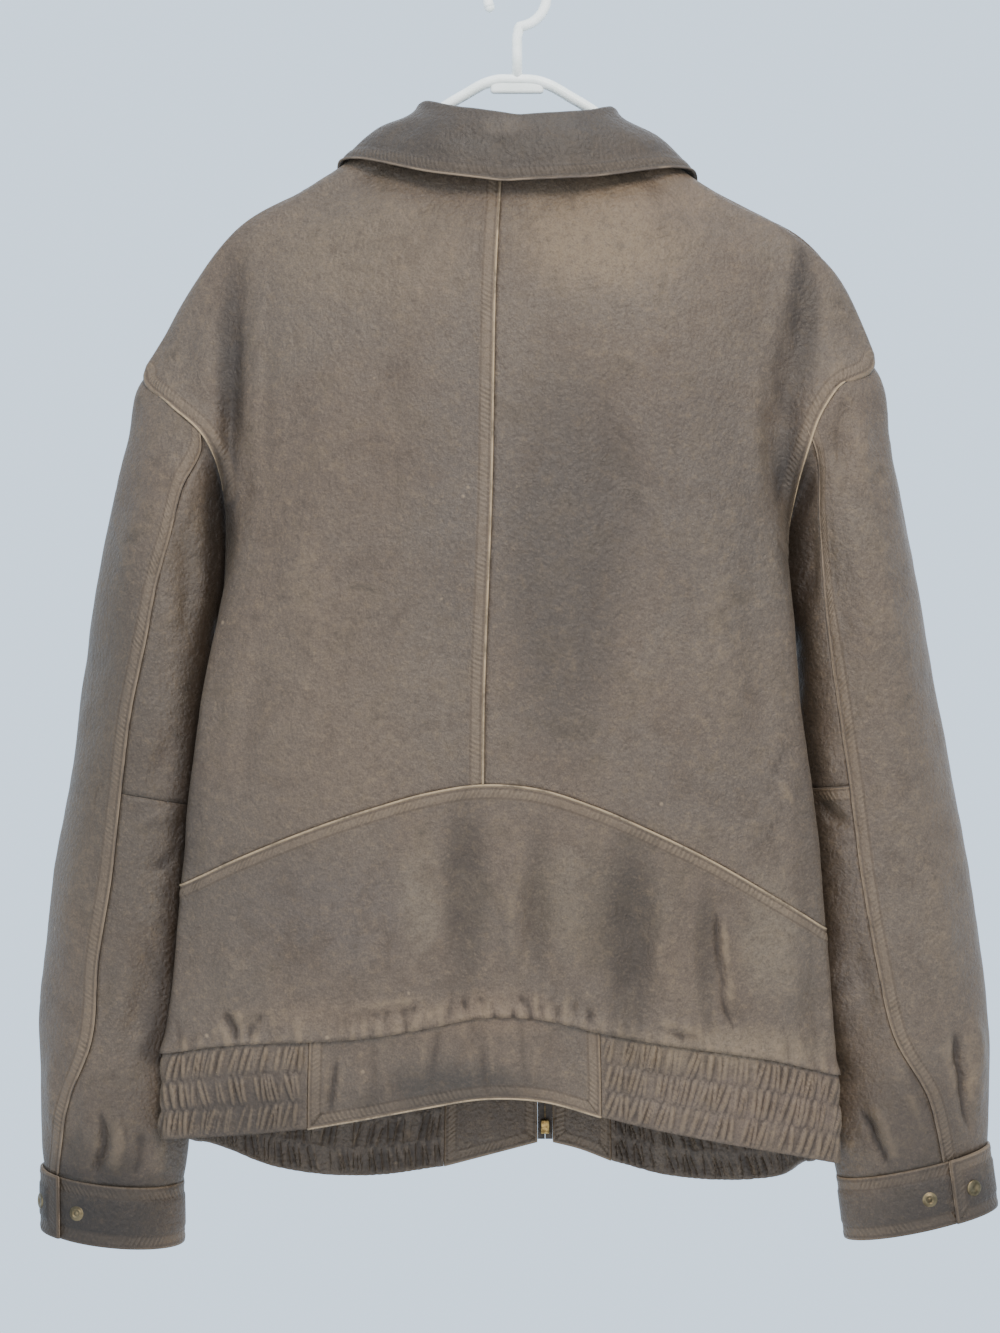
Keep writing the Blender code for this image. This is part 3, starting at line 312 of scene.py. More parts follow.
# Seam down the back of the sleeve: x and height
sleeveSeam = {
    -1: [(-230, -340), (-247, -387), (-258, -429), (-270, -477.5), (-277, -521), (-287, -566), (-292.5, -619),
         (-298.7, -672), (-308.4, -734), (-312, -786), (-319.4, -813), (-336, -857), (-341, -900)],
    1: [(218, -355), (222.3, -374), (224.5, -418), (229, -484.5), (237, -545), (241, -579), (246, -610),
        (256, -687), (263, -726), (272, -773), (285, -809), (298, -832), (311, -851), (318, -905)],
}
# Cuffs: outer and inner corner of the top edge, drop to the bottom edge, half depth, tilt of the back, and
# the angles of the tab's end, cap and stud round the cuff.
cuffShape = {
    -1: {"outer": (-356, -894.5), "inner": (-250, -905.5), "drop": (0.5, -45.5), "halfDepth": 36,
         "backDrop": 5, "tab": 46, "cap": 17, "stud": 63, "capSunk": 0.8},
    1: {"outer": (354, -877.5), "inner": (240, -902.5), "drop": (6, -46), "halfDepth": 32,
        "backDrop": 3, "tab": 66, "cap": 49, "stud": 84, "capSunk": 0.0},
}
cuffWall = 2.6
cuffY = 5.0  # middle depth of the cuffs
cuffInset = -1.0  # of the cuff's under layer and the sleeve's end
besideSeam = 0.018  # radians beside a seam, so that the walls' ends stay parallel
tabLift = 3.4  # the tab lies on the cuff's other end
tabUnder = 62  # degrees of cuff beneath the tab
tabSlope = 1.9  # radians in which the tab's layer comes down to the cuff's own
capH = 2.2
snapShare = 0.52  # place down the cuff
snapGap = {"cap": 0.75, "stud": 0.6}  # over the middle, so that the rim clears the curved leather
studH = 1.6

# Collar: neck seam, fold, and outer edge, from the centre back round to the front end, on each side
collarLines = {
    -1: {"neck": [(-11.5, -41, -146.5), (-50, -30, -134), (-83, 1, -110.5), (-66, 38, -148), (-6, 63, -203)],
         "fold": [(0, -42, -114), (-42, -33, -106.5), (-71, 0, -98.6), (-60, 42, -128), (-9, 72, -187)],
         "edge": [(-11, -55, -163.5), (-62, -51, -157), (-132, -2, -141.5), (-112, 52, -186),
                  (-64, 82, -262)]},
    1: {"neck": [(-11.5, -41, -146.5), (44, -32, -136), (83, 1, -115.5), (64, 38, -150), (0, 63, -203)],
        "fold": [(0, -42, -114), (46, -33, -109.5), (72, 0, -102.6), (58, 42, -131), (3, 72, -187)],
        "edge": [(-11, -55, -163.5), (52, -53, -160.5), (132, -2, -149.0), (112, 52, -192), (58, 82, -262)]},
}
collarRoll = 2.8
collarBow = (2.0, 4.0)  # how far the fall bows outwards and upwards halfway down
collarSteps = 4  # between two of its points
rollShape = (1.6, 0.5, 1.9, 0.7)  # the fold's depth, its reach inwards, outwards and at the crown, in rolls

zipTape = 6.0
zipTop = -262.0
zipWall = 1.6
zipBox = (7.0, 4.6, 11.0)
zipClear = 0.8
sliderSize = (8.0, 3.0, 12.0)
pinOut = 1.7  # from the slider's face to the pull's pin
pinUp = 2.5  # over the slider's middle
cheekSize = (1.2, 4.0, 4.0)
cheekX = 2.7
cheekBack = 0.6  # the cheeks' middle, behind the pin
pullEye = (3.4, 1.5, 5.4)
pullEyeDrop = 1.4
pullLeaf = (6.0, 1.5, 24.0)
pullLeafDrop = 16.0
zipFoot = -884.0  # the tapes' lower ends
zipBoxZ = -874.0
zipBoxGap = 0.4  # behind the tapes
zipOpening = (60.0, 2.0)  # over the slider the tapes part by the second in each length of the first

tubeR = 4.25
hookR = 22.0  # centre line, so that the inner top of the hook is the origin
hookTubeR = 4.0
hookStart = 200  # degrees: the tip of the hook, round to its neck at -90
hookNeck = (1.5, 1.0)  # sideways and down, where the bend meets the stem
stemDrops = (8.0, -60.0, -79.0)  # drop below the bend, then two heights
webSize = (40, 6, 13)
webZ = -84
hangerArms = {
    -1: [(-6, -80), (-22, -82), (-57, -102), (-71, -113), (-100, -133), (-134, -157.5), (-180, -183.5),
         (-206, -200)],
    1: [(6, -80), (22, -83), (58, -104), (72, -116), (100, -138.5), (134, -167), (180, -190), (204, -204)],
}


# Knots and tangents of a smooth curve through one column of a table, without overshoot
@functools.lru_cache(maxsize=None)
def curveOf(rows, key, wanted):
    ordered = sorted(rows, key=lambda row: row[key])
    xs = [float(row[key]) for row in ordered]
    ys = [float(row[wanted]) for row in ordered]
    slopes = [(ys[k + 1] - ys[k]) / (xs[k + 1] - xs[k]) for k in range(len(xs) - 1)]
    tangents = [slopes[0]]
    for a, b in zip(slopes, slopes[1:]):
        tangents.append(0.0 if a * b <= 0 else 2 * a * b / (a + b))
    tangents.append(slopes[-1])
    return xs, ys, tangents


# Smooth interpolation in a table of rows, from one of its columns to another
def along(table, value, key=0, wanted=1):
    xs, ys, tangents = curveOf(tuple(table), key, wanted)
    value = min(max(float(value), xs[0]), xs[-1])
    i = min(max(bisect.bisect_left(xs, value) - 1, 0), len(xs) - 2)
    step = xs[i + 1] - xs[i]
    t = (value - xs[i]) / step
    rise = (2 * t**3 - 3 * t**2 + 1) * ys[i] + (3 * t**2 - 2 * t**3) * ys[i + 1]
    return rise + step * ((t**3 - 2 * t**2 + t) * tangents[i] + (t**3 - t**2) * tangents[i + 1])


# A smooth curve through the points, with count pieces between each pair
def spline(points, count):
    p = np.array(points, float)
    ghost = np.vstack([2 * p[0] - p[1], p, 2 * p[-1] - p[-2]])
    out = []
    for i in range(1, len(ghost) - 2):
        a, b, c, d = ghost[i - 1 : i + 3]
        for j in range(count):
            t = j / count
            out.append(0.5 * (2 * b + (c - a) * t + (2 * a - 5 * b + 4 * c - d) * t**2
                              + (3 * b - a - 3 * c + d) * t**3))
    out.append(p[-1])
    return np.array(out)


def unit(v):
    return v / max(float(np.linalg.norm(v)), 1e-9)


# The body's skin

shoulderLine = shoulderPoints[-1] + [(0, -94)] + shoulderPoints[1]


# How far a point lies below the shoulder line
def belowShoulder(x, z):
    return max(along(shoulderLine, x) - z, 0.0)


# Distance of the body's skin from the hanger's plane
def depthAt(x, z, fold, depths):
    h = belowShoulder(x, z)
    roll = crestRoll * math.sqrt(1 - (1 - min(h / rollDrop, 1.0)) ** 2)
    u = min(abs(x / fold), 1.0)
    grown = along(depths, z) * (1 - math.exp(-h / bodyGrowth)) * (1 - sideFall * u**4)
    return roll + grown


def row(table, columns, z):
    return {name: along(table, z, 0, i) for i, name in enumerate(columns) if i}


pointShares = (0.0, 0.2, 0.4, 0.6, 0.78, 0.92)  # points from the middle towards the fold
rollShare = 0.96  # the front's are drawn in a little from its roll
tuckStep = 2.0  # the fold stands out this much where the side is turned under


# Front and back share the shoulder line above the armhole, and the side seam below it
def onSharedSeam(side, z, r, beside):
    if z > shoulderPoints[side][-1][1]:
        r["edgeX"] = along(shoulderPoints[side], z, 1, 0)
        r[beside] = r["edgeX"] - side * crestStep
    elif z < underarmZ:
        r["edgeX"] = along(backRows[side], z, 0, backColumns.index("edgeX"))
        r["edgeY"] = along(backRows[side], z, 0, backColumns.index("edgeY"))
    return r


# Control points of the back half of a section, from the centre seam to the armhole or side seam
def backSection(side, z):
    r = onSharedSeam(side, z, row(backRows[side], backColumns, z), "flapX")
    middle = along(centreBack, z, 1, 0)
    fold = r["foldX"]
    points = []
    for share in pointShares:
        x = middle + (fold - middle) * share
        points.append((x, -depthAt(x, z, fold, backDepth)))
    y = {name: -depthAt(r[name + "X"], z, fold, backDepth) for name in ("fold", "dip", "flap", "edge")}
    points.append((fold, y["fold"] + tuckStep * r["tuck"]))
    edge = y["edge"] * (1 - r["tuck"]) + r["edgeY"] * r["tuck"]
    for name, share in zip(("dip", "flap"), turnShares):
        turned = edge + (y["fold"] + tuckStep - edge) * share
        points.append((r[name + "X"], y[name] * (1 - r["tuck"]) + turned * r["tuck"]))
    points.append((r["edgeX"], edge))
    return points


# Control points of the front half, from the zip to the armhole or side seam
def frontSection(side, z):
    r = onSharedSeam(side, z, row(frontRows[side], frontColumns, z), "turnX")
    middle = along(zipLine, z, 1, 0)
    roll = r["rollX"]
    points = []
    for share in pointShares:
        x = middle + (roll - middle) * share * rollShare
        points.append((x, depthAt(x, z, roll, frontDepth)))
    y = {name: depthAt(r[name + "X"], z, roll, frontDepth) for name in ("roll", "wall", "turn", "edge")}
    edge = y["edge"] * (1 - r["tuck"]) + r["edgeY"] * r["tuck"]
    points.append((roll, y["roll"]))
    for name, share in zip(("wall", "turn"), turnShares):
        turned = edge + (y["roll"] - edge) * share
        points.append((r[name + "X"], y[name] * (1 - r["tuck"]) + turned * r["tuck"]))
    points.append((r["edgeX"], edge))
    return points


finePoints = 6  # fine points between two control points


@functools.lru_cache(maxsize=4000)
def sectionLine(side, face, z):
    section = backSection if face == "back" else frontSection
    flat = spline(section(side, z), finePoints)
    return np.column_stack([flat, np.full(len(flat), z)])


# A point of the body's skin: share runs over the control points from 0 at the middle to 1 at the edge, and
# the first and last millimetres are left free
def skin(side, face, share, z, first=0.0, last=0.0):
    line = sectionLine(side, face, z)
    pieces = len(line) - 1
    start = first / np.linalg.norm(line[1] - line[0])
    end = pieces - last / np.linalg.norm(line[-1] - line[-2])
    at = min(max(share * pieces, start), end)
    i = min(int(at), pieces - 1)
    return line[i] + (line[i + 1] - line[i]) * (at - i)


# Rows of a panel from the neck and shoulder down to the seam foot(x)
def panel(side, face, neck, foot):
    shareList = backShares[side] if face == "back" else frontShares[side]
    top = shoulderPoints[side][0][1]
    levelLow = foot(skin(side, face, 1, sideZ)[0])
    extra = frontExtra if face == "front" else ()
    levels = [top] + [z for z in rowLevels[side] + extra if z > levelLow + 20] + [levelLow]
    grid = []
    for level in levels:
        v = (level - top) / (levelLow - top)
        line = []
        for share in shareList:
            high = neck + (top - neck) * share**1.5 - seamGap / 2
            low = foot(skin(side, face, share, levelLow)[0]) + seamGap / 2
            free = seamGap / 2 if face == "back" else zipTape + seamGap / 2
            line.append(skin(side, face, share, high + (low - high) * v, free, edgeFree))
        grid.append(line)
    return grid


def makeBody():
    for side, word in ((-1, "left"), (1, "right")):
        grid = panel(side, "back", neckBack, lambda x: along(archLine, x))
        keepGrid(f"back_{word}", grid, leatherWall, (0, -1, 0))
        grid = panel(side, "front", neckFront, lambda x: along(waistFront, x))
        keepGrid(f"front_{word}", grid, leatherWall, (0, 1, 0))
    grid = []
    steps = 5
    for j in range(steps + 1):
        line = []
        for side, order in ((-1, backShares[-1][:0:-1]), (1, backShares[1])):
            levelLow = along(archLine, skin(side, "back", 1, sideZ)[0])
            for share in order:
                high = along(archLine, skin(side, "back", share, levelLow)[0]) - seamGap / 2
                low = along(waistBack, skin(side, "back", share, waistZ)[0]) + seamGap / 2
                line.append(skin(side, "back", share, high + (low - high) * j / steps, 0, edgeFree))
        grid.append(line)
    keepGrid("back_lower", grid, leatherWall, (0, -1, 0))


# One column of the waistband, from the waist seam down to the hem
def bandColumn(side, face, share, steps):
    top, bottom = (waistBack, hemBack) if face == "back" else (waistFront, hemFront)
    level = waistZ if face == "back" else along(waistFront, skin(side, face, 1, sideZ)[0])
    x = skin(side, face, share, level)[0]
    high, low = along(top, x) - 1.5 * seamGap, along(bottom, x)
    free = zipTape + seamGap / 2 if face == "front" else 0
    return [skin(side, face, share, high + (low - high) * j / steps, free) for j in range(steps + 1)]


def makeBand():
    steps = 2
    columns, cuts = [], []
    for side, face in ((-1, "front"), (-1, "back"), (1, "back"), (1, "front")):
        shareList = backShares[side] if face == "back" else frontShares[side]
        order = list(range(len(shareList)))
        if (side, face) in ((-1, "back"), (1, "front")):
            order.reverse()
        if columns:
            order = order[1:]
        for k in order:
            if k == bandCut[side, face]:
                cuts.append(len(columns))
            columns.append(bandColumn(side, face, shareList[k], steps))
    pieces = (
        ("waist_front_left", 0, cuts[0], (0, 1, 0)), ("waist_elastic_left", cuts[0], cuts[1], (-1, 0, 0)),
        ("waist_back", cuts[1], cuts[2], (0, -1, 0)), ("waist_elastic_right", cuts[2], cuts[3], (1, 0, 0)),
        ("waist_front_right", cuts[3], len(columns) - 1, (0, 1, 0)),
    )
    for name, start, end, outward in pieces:
        part = [list(column) for column in columns[start : end + 1]]
        for here, beside in ((0, 1), (-1, -2)):
            if name.startswith("waist_front") and (start == 0) == (here == 0):
                continue
            for j in range(steps + 1):
                part[here][j] = part[here][j] + unit(part[beside][j] - part[here][j]) * seamGap / 2
        grid = [[column[j] for column in part] for j in range(steps + 1)]
        wall = bandWall if "elastic" in name else bandEndWall
        keepGrid(name, grid, wall, outward)


# Sleeves

# The angle round the armhole, from its top, of a height on its back or front
def armholeAngle(side, z, face):
    top, bottom = sleeveRows[side][0][0], sleeveRows[side][0][1]
    share = (z - (top + bottom) / 2) / ((top - bottom) / 2)
    return math.acos(min(max(share, -1), 1)) * (1 if face == "back" else -1)


# A point of the armhole at an angle from its top, and the way the body's skin leaves there
def armhole(side, angle):
    top, bottom = sleeveRows[side][0][0], sleeveRows[side][0][1]
    z = (top + bottom) / 2 + (top - bottom) / 2 * math.cos(angle)
    face = "back" if math.sin(angle) >= 0 else "front"
    line = sectionLine(side, face, z)
    edge = line[-1]
    leave = unit(edge - line[-4])
    up = min(max((-z - armpit[0]) / armpit[1], 0), 1)
    up = up * up * (3 - 2 * up)
    nearTop = min(max(1 - (top - z) / shoulderTip, 0), 1)
    leave = unit(leave * (1 - up) + np.array([side * 0.15, 0, 1]) * up)
    leave = unit(leave * (1 - nearTop) + unit(np.array([side, 0, -1.3])) * nearTop)
    return edge, leave


# A plain oval section of the sleeve
def loop(side, station, angle):
    top, low, middleY, depth = sleeveRows[side][station]
    o = np.array([along(sleeveOuter[side], top, 1, 0), top])
    i = np.array([along(sleeveInner[side], low, 1, 0), low])
    if station == 0:
        o = np.array(shoulderPoints[side][-1], float)
        i = sectionLine(side, "back", underarmZ)[-1][[0, 2]]
    x, z = (o + i) / 2 + (o - i) / 2 * math.cos(angle)
    return np.array([x, middleY - depth * math.sin(angle), z])


# A point of the sleeve's skin. Angles run from the outer side over the back (0 to pi) to the inner side.
def sleevePoint(side, station, angle):
    edge, leave = armhole(side, angle)
    if station == 0:
        return edge + leave * armholeFree
    if station == len(sleeveRows[side]) - 1:
        return cuffPoint(side, angle, 0, cuffInset)[0] + np.array([0, 0, 0.5])
    here = loop(side, station, angle)
    if station < len(armholeBlend):
        here = here + (edge - loop(side, 0, angle)) * armholeBlend[station]
    if station == 1:
        return edge + leave * followLength + (here - edge) * 0.02
    return here


# Where the seam down the back of the sleeve crosses a section
def seamAngle(side, station):
    if station < 2:
        return armholeAngle(side, seamStart[side], "back") + station * 0.04
    best = (1e9, 0)
    for degrees in np.arange(10, 150, 0.5):
        angle = math.radians(degrees)
        x, _, z = sleevePoint(side, station, angle)
        best = min(best, (abs(x - along(sleeveSeam[side], z, 1, 0)), angle))
    return best[1]


# A section's angles, drawn in at both seams, with one more beside each
def trimmed(line):
    start = [line[0] + sleeveTrim, line[0] + 3 * besideSeam]
    end = [line[-1] - 3 * besideSeam, line[-1] - sleeveTrim]
    return start + line[1:-1] + end


def makeSleeves():
    turn = 2 * math.pi
    for side, word in ((-1, "left"), (1, "right")):
        last = len(sleeveRows[side]) - 1
        levels = [z for z in rowLevels[side] if underarmZ < z <= sleeveRows[side][0][0]]
        back = [armholeAngle(side, z, "back") for z in levels]
        roundFront = [turn + armholeAngle(side, z, "front") for z in levels]
        seam = armholeAngle(side, seamStart[side], "back")
        front = armholeAngle(side, frontSeamStart, "front")
        overAt = [a - turn for a in roundFront[::-1] if a - turn >= front - 1e-6]
        overAt += [a for a in back[1:] if a <= seam + 1e-6]
        underAt = [a for a in back if a >= seam - 1e-6] + [math.pi]
        underAt += [a for a in roundFront[::-1] if a <= front + turn + 1e-6]
        over, under = [], []
        for k in range(last + 1):
            angle = seamAngle(side, k)
            stretch = (angle - front) / (seam - front)
            line = [front + (a - front) * stretch for a in overAt]
            line = trimmed(line)
            over.append([sleevePoint(side, k, a) for a in line])
            stretch = (front + turn - angle) / (front + turn - seam)
            line = [angle + (a - seam) * stretch for a in underAt]
            line = trimmed(line)
            under.append([sleevePoint(side, k, a) for a in line])
        drop = np.array([0, 0, seamGap / 2])
        upper = under[: elbowRow + 1]
        lower = under[elbowRow:]
        upper[-1] = [p + drop for p in upper[-1]]
        lower[0] = [p - drop for p in lower[0]]
        keepGrid(f"sleeve_over_{word}", over, leatherWall, (side, 0, 0))
        keepGrid(f"sleeve_under_upper_{word}", upper, leatherWall, (-side, 0, 0))
        keepGrid(f"sleeve_under_lower_{word}", lower, leatherWall, (-side, 0, 0))


# A point of the cuff, and its outward direction, at an angle round it and a share of its height
def cuffPoint(side, angle, v, lift=0.0):
    cuff = cuffShape[side]
    o, i = np.array(cuff["outer"], float), np.array(cuff["inner"], float)
    middle = (o + i) / 2 + np.array(cuff["drop"]) * v
    reach = (o - i) / 2
    length = float(np.linalg.norm(reach))
    x, z = middle + reach * (1 + lift / length) * math.cos(angle)
    y = cuffY - (cuff["halfDepth"] + lift) * math.sin(angle)
    z -= cuff["backDrop"] * math.sin(angle)
    slope = np.array([reach[0] / length * math.cos(angle) / length, -math.sin(angle) / cuff["halfDepth"], 0])
    return np.array([x, y, z]), unit(slope)


def makeCuffs():
    turn = 2 * math.pi
    for side, word in ((-1, "left"), (1, "right")):
        cuff = cuffShape[side]
        tab = math.radians(cuff["tab"])
        under = math.radians(tabUnder)
        # from the tab's end, back over the outer side and all round, to the end beneath the tab
        grid = []
        for v in np.linspace(0, 1, 3):
            line = []
            for a in np.linspace(tab, tab - turn - under, 30):
                sunk = min(max((tab - a) / tabSlope, 0), 1)
                sunk = sunk * sunk * (3 - 2 * sunk)
                line.append(cuffPoint(side, a, v, tabLift * (1 - sunk) + cuffInset)[0])
            grid.append(line)
        keepGrid(f"cuff_{word}", grid, cuffWall, (0, -1, 0))
        for kind in ("cap", "stud"):
            lift = tabLift - cuff["capSunk"] if kind == "cap" else 0
            point, out = cuffPoint(side, math.radians(cuff[kind]), snapShare, lift + cuffInset)
            snapSeats[f"snap_{kind}_{word}"] = (point + out * (cuffWall / 2 + snapGap[kind]), out)


def makeCollar():
    deep, inwards, outwards, crest = (collarRoll * k for k in rollShape)
    halves = []
    for side in (-1, 1):
        lines = {name: spline(points, collarSteps) for name, points in collarLines[side].items()}
        halves.append(lines)
    profile = []
    total = len(halves[0]["neck"])
    for sideIndex in (0, 1):
        lines = halves[sideIndex]
        part = []
        for k in range(total):
            neck, fold, edge = lines["neck"][k], lines["fold"][k], lines["edge"][k]
            away = unit(np.array([edge[0] - neck[0], edge[1] - neck[1], 0]))
            up = np.array([0, 0, 1.0])
            inside = fold - up * deep - away * inwards
            outside = fold - up * deep + away * outwards
            crown = fold + away * crest
            mid = (outside + edge) / 2 + away * collarBow[0] + up * collarBow[1]
            low = neck * 0.5 + inside * 0.5
            part.append([neck, low, inside, crown, outside, mid, edge])
        profile.append(part)
    across = profile[0][:0:-1] + profile[1]
    grid = [[section[j] for section in across] for j in range(7)]
    keepGrid("collar", grid, leatherWall, (0, 1, 0))


# Zip

# A point on the zip's line, in front of the tapes by out
def zipPoint(z, out=0.0):
    return skin(-1, "front", 0.0, z) + np.array([0, out, 0])


def makeZip():
    for side, word in ((-1, "left"), (1, "right")):
        grid = []
        for z in np.linspace(neckFront - 3, zipFoot, 18):
            middle = zipPoint(z)
            openBy = max(0.0, (z - zipTop) / zipOpening[0]) * zipOpening[1]
            near = middle + np.array([side * (seamGap / 2 + openBy), 0, 0])
            far = middle + np.array([side * (zipTape - seamGap), 0, 0])
            grid.append([near, far])
        keepGrid(f"zip_tape_{word}", grid, zipWall, (0, 1, 0))


makeBody()
makeBand()
makeSleeves()
makeCuffs()
makeCollar()
makeZip()
print("forms laid out:", len(grids))


# Finer walls

# Knots' own spacing sets the curve through them, so that neighbours along a seam get the same line
def hermite(lines, counts):
    lines = np.asarray(lines, float)  # points along the first axis
    step = np.maximum(np.linalg.norm(np.diff(lines, axis=0), axis=-1, keepdims=True), 1e-6)
    slope = np.diff(lines, axis=0) / step
    tangent = np.empty_like(lines)
    tangent[0], tangent[-1] = slope[0], slope[-1]
    tangent[1:-1] = (slope[:-1] * step[1:] + slope[1:] * step[:-1]) / (step[1:] + step[:-1])
    out = []
    for k, count in enumerate(counts):
        for t in np.arange(count) / count:
            out.append((2 * t**3 - 3 * t**2 + 1) * lines[k] + (3 * t**2 - 2 * t**3) * lines[k + 1]
                       + step[k] * ((t**3 - 2 * t**2 + t) * tangent[k] + (t**3 - t**2) * tangent[k + 1]))
    out.append(lines[-1])
    return np.array(out)


def evenly(line, pitch):
    reach = np.concatenate([[0], np.cumsum(np.linalg.norm(np.diff(line, axis=0), axis=1))])
    count = max(2, int(reach[-1] / pitch))
    at = np.linspace(0, reach[-1], count)
    return np.stack([np.interp(at, reach, line[:, k]) for k in range(3)], axis=1)


nearSeam = {"size": 1.5, "reach": 11}  # faces beside topstitching, and how far from it they go on


# How many faces go between each pair of a grid's rows
def partsOf(grid, size, nearStart=False, nearEnd=False):
    length = np.linalg.norm(np.diff(grid, axis=0), axis=-1).mean(axis=1)
    counts = []
    for k, reach in enumerate(length):
        fineHere = (nearStart and length[:k].sum() < nearSeam["reach"]) or (
            nearEnd and length[k + 1:].sum() < nearSeam["reach"])
        counts.append(max(1, int(round(reach / (nearSeam["size"] if fineHere else size)))))
    return counts


def reachAlong(grid):
    step = np.linalg.norm(np.diff(grid, axis=0), axis=-1)
    return np.concatenate([np.zeros((1, grid.shape[1])), np.cumsum(step, axis=0)])


# The value of the first kind that a name starts with
def kindOf(table, name, otherwise=None):
    return next((value for start, value in table.items() if name.startswith(start)), otherwise)


def smoothStep(value, low, high):
    t = np.clip((value - low) / (high - low), 0, 1)
    return t * t * (3 - 2 * t)


def normalsOf(points):
    down = np.gradient(points, axis=0)
    across = np.gradient(points, axis=1)
    normal = np.cross(across, down)
    return normal / np.maximum(np.linalg.norm(normal, axis=-1, keepdims=True), 1e-9)


# Each wall: size of its faces in mm across and down; the sides with topstitching, which are start or end
# across, top or foot down, and the armhole; how it was cut, as width, length and area in metres; what it
# hangs from
cloth = {
    "back_left": ((3.4, 3.6), ("start", "armhole"), (0.300, 0.560, 0.121), "hanger"),
    "back_right": ((3.4, 3.6), ("armhole",), (0.285, 0.580, 0.134), "hanger"),
    "back_lower": ((2.0, 2.6), ("top",), (0.560, 0.160, 0.080), "back_left_leather"),
    "front_left": ((4.4, 4.4), ("start", "armhole"), (0.310, 0.700, 0.178), "hanger"),
    "front_right": ((4.4, 4.4), ("start", "armhole"), (0.290, 0.710, 0.160), "hanger"),
    "waist_front_left": ((2.4, 2.4), ("start", "end", "foot"), (0.075, 0.066, None), "front_left_leather"),
    "waist_front_right": ((2.4, 2.4), ("start", "end", "foot"), (0.050, 0.066, None), "front_right_leather"),
    "waist_elastic_left": ((0.95, 1.6), (), (0.480, 0.066, None), "back_lower_leather"),
    "waist_elastic_right": ((0.95, 1.6), (), (0.520, 0.066, None), "back_lower_leather"),
    "waist_back": ((1.8, 1.8), ("start", "end", "foot"), (0.225, 0.062, None), "back_lower_leather"),
    "sleeve_over_left": ((2.6, 3.4), ("end",), (0.215, 0.580, 0.100), "back_left_leather"),
    "sleeve_over_right": ((2.6, 3.4), ("end",), (0.245, 0.570, 0.119), "back_right_leather"),
    "sleeve_under_upper_left": ((3.6, 4.0), (), (0.190, 0.210, 0.033), "back_left_leather"),
    "sleeve_under_upper_right": ((3.6, 4.0), (), (0.160, 0.195, 0.024), "back_right_leather"),
    "sleeve_under_lower_left": ((2.4, 3.2), (), (0.205, 0.290, 0.053), "sleeve_under_upper_left_leather"),
    "sleeve_under_lower_right": ((2.4, 3.2), ("top",), (0.175, 0.295, 0.046),
                                 "sleeve_under_upper_right_leather"),
    "cuff_left": ((2.0, 2.0), ("start", "top", "foot"), (0.325, 0.047, None), "sleeve_over_left_leather"),
    "cuff_right": ((2.0, 2.0), ("start", "top", "foot"), (0.335, 0.047, None), "sleeve_over_right_leather"),
    "collar": ((2.4, 2.2), ("foot", "start", "end"), (0.560, 0.105, 0.050), "back_left_leather"),
}
topstitch = {
    "rows": (2.3, 9.3),  # from the seam, in mm
    "otherRows": {"collar": (3.0, 10.4), "cuff": (2.4,), "waist": (2.2, 8.6), "sleeve_under_lower": (1.8,)},
    "armholeFoot": {-1: -392, 1: -428},  # heights where the armhole's rows end
    "armholeStep": 0.8,  # between the points that stand for the armhole's seam
    "lift": 0.75, "waistLift": 0.375, "reach": 11.5, "soft": (-0.8, 1.6),  # the ridge over the seam allowance
    "groove": 0.55, "grooveWidth": 0.9,
}


def sidesOf(name):
    return cloth[name][1]


def rowsOf(name):
    return kindOf(topstitch["otherRows"], name, topstitch["rows"])


# Distance from each stitched side, and the place along it, for every point of a wall
def sideFields(name, points):
    across, down = reachAlong(points.transpose(1, 0, 2)).T, reachAlong(points)
    fields = {}
    for side in sidesOf(name):
        if side == "start":
            fields[side] = (across, down[:, :1] + 0 * across)
        elif side == "end":
            fields[side] = (across[:, -1:] - across, down[:, -1:] + 0 * across)
        elif side == "top":
            fields[side] = (down, across[:1] + 0 * down)
        elif side == "foot":
            fields[side] = (down[-1:] - down, across[-1:] + 0 * down)
        else:
            word = -1 if name.endswith("left") else 1
            height, step = points[:, -1, 2], topstitch["armholeStep"]
            top, foot = sleeveRows[word][0][0] + 1, topstitch["armholeFoot"][word]
            edge = np.flatnonzero((height <= top) & (height >= foot))
            seam = evenly(points[max(edge[0] - 1, 0):edge[-1] + 1, -1], step)  # from the row above the sleeve
            away = np.linalg.norm(points[:, :, None, (0, 2)] - seam[:, (0, 2)], axis=-1)
            fields[side] = (away.min(axis=-1), away.argmin(axis=-1) * step)
    return fields


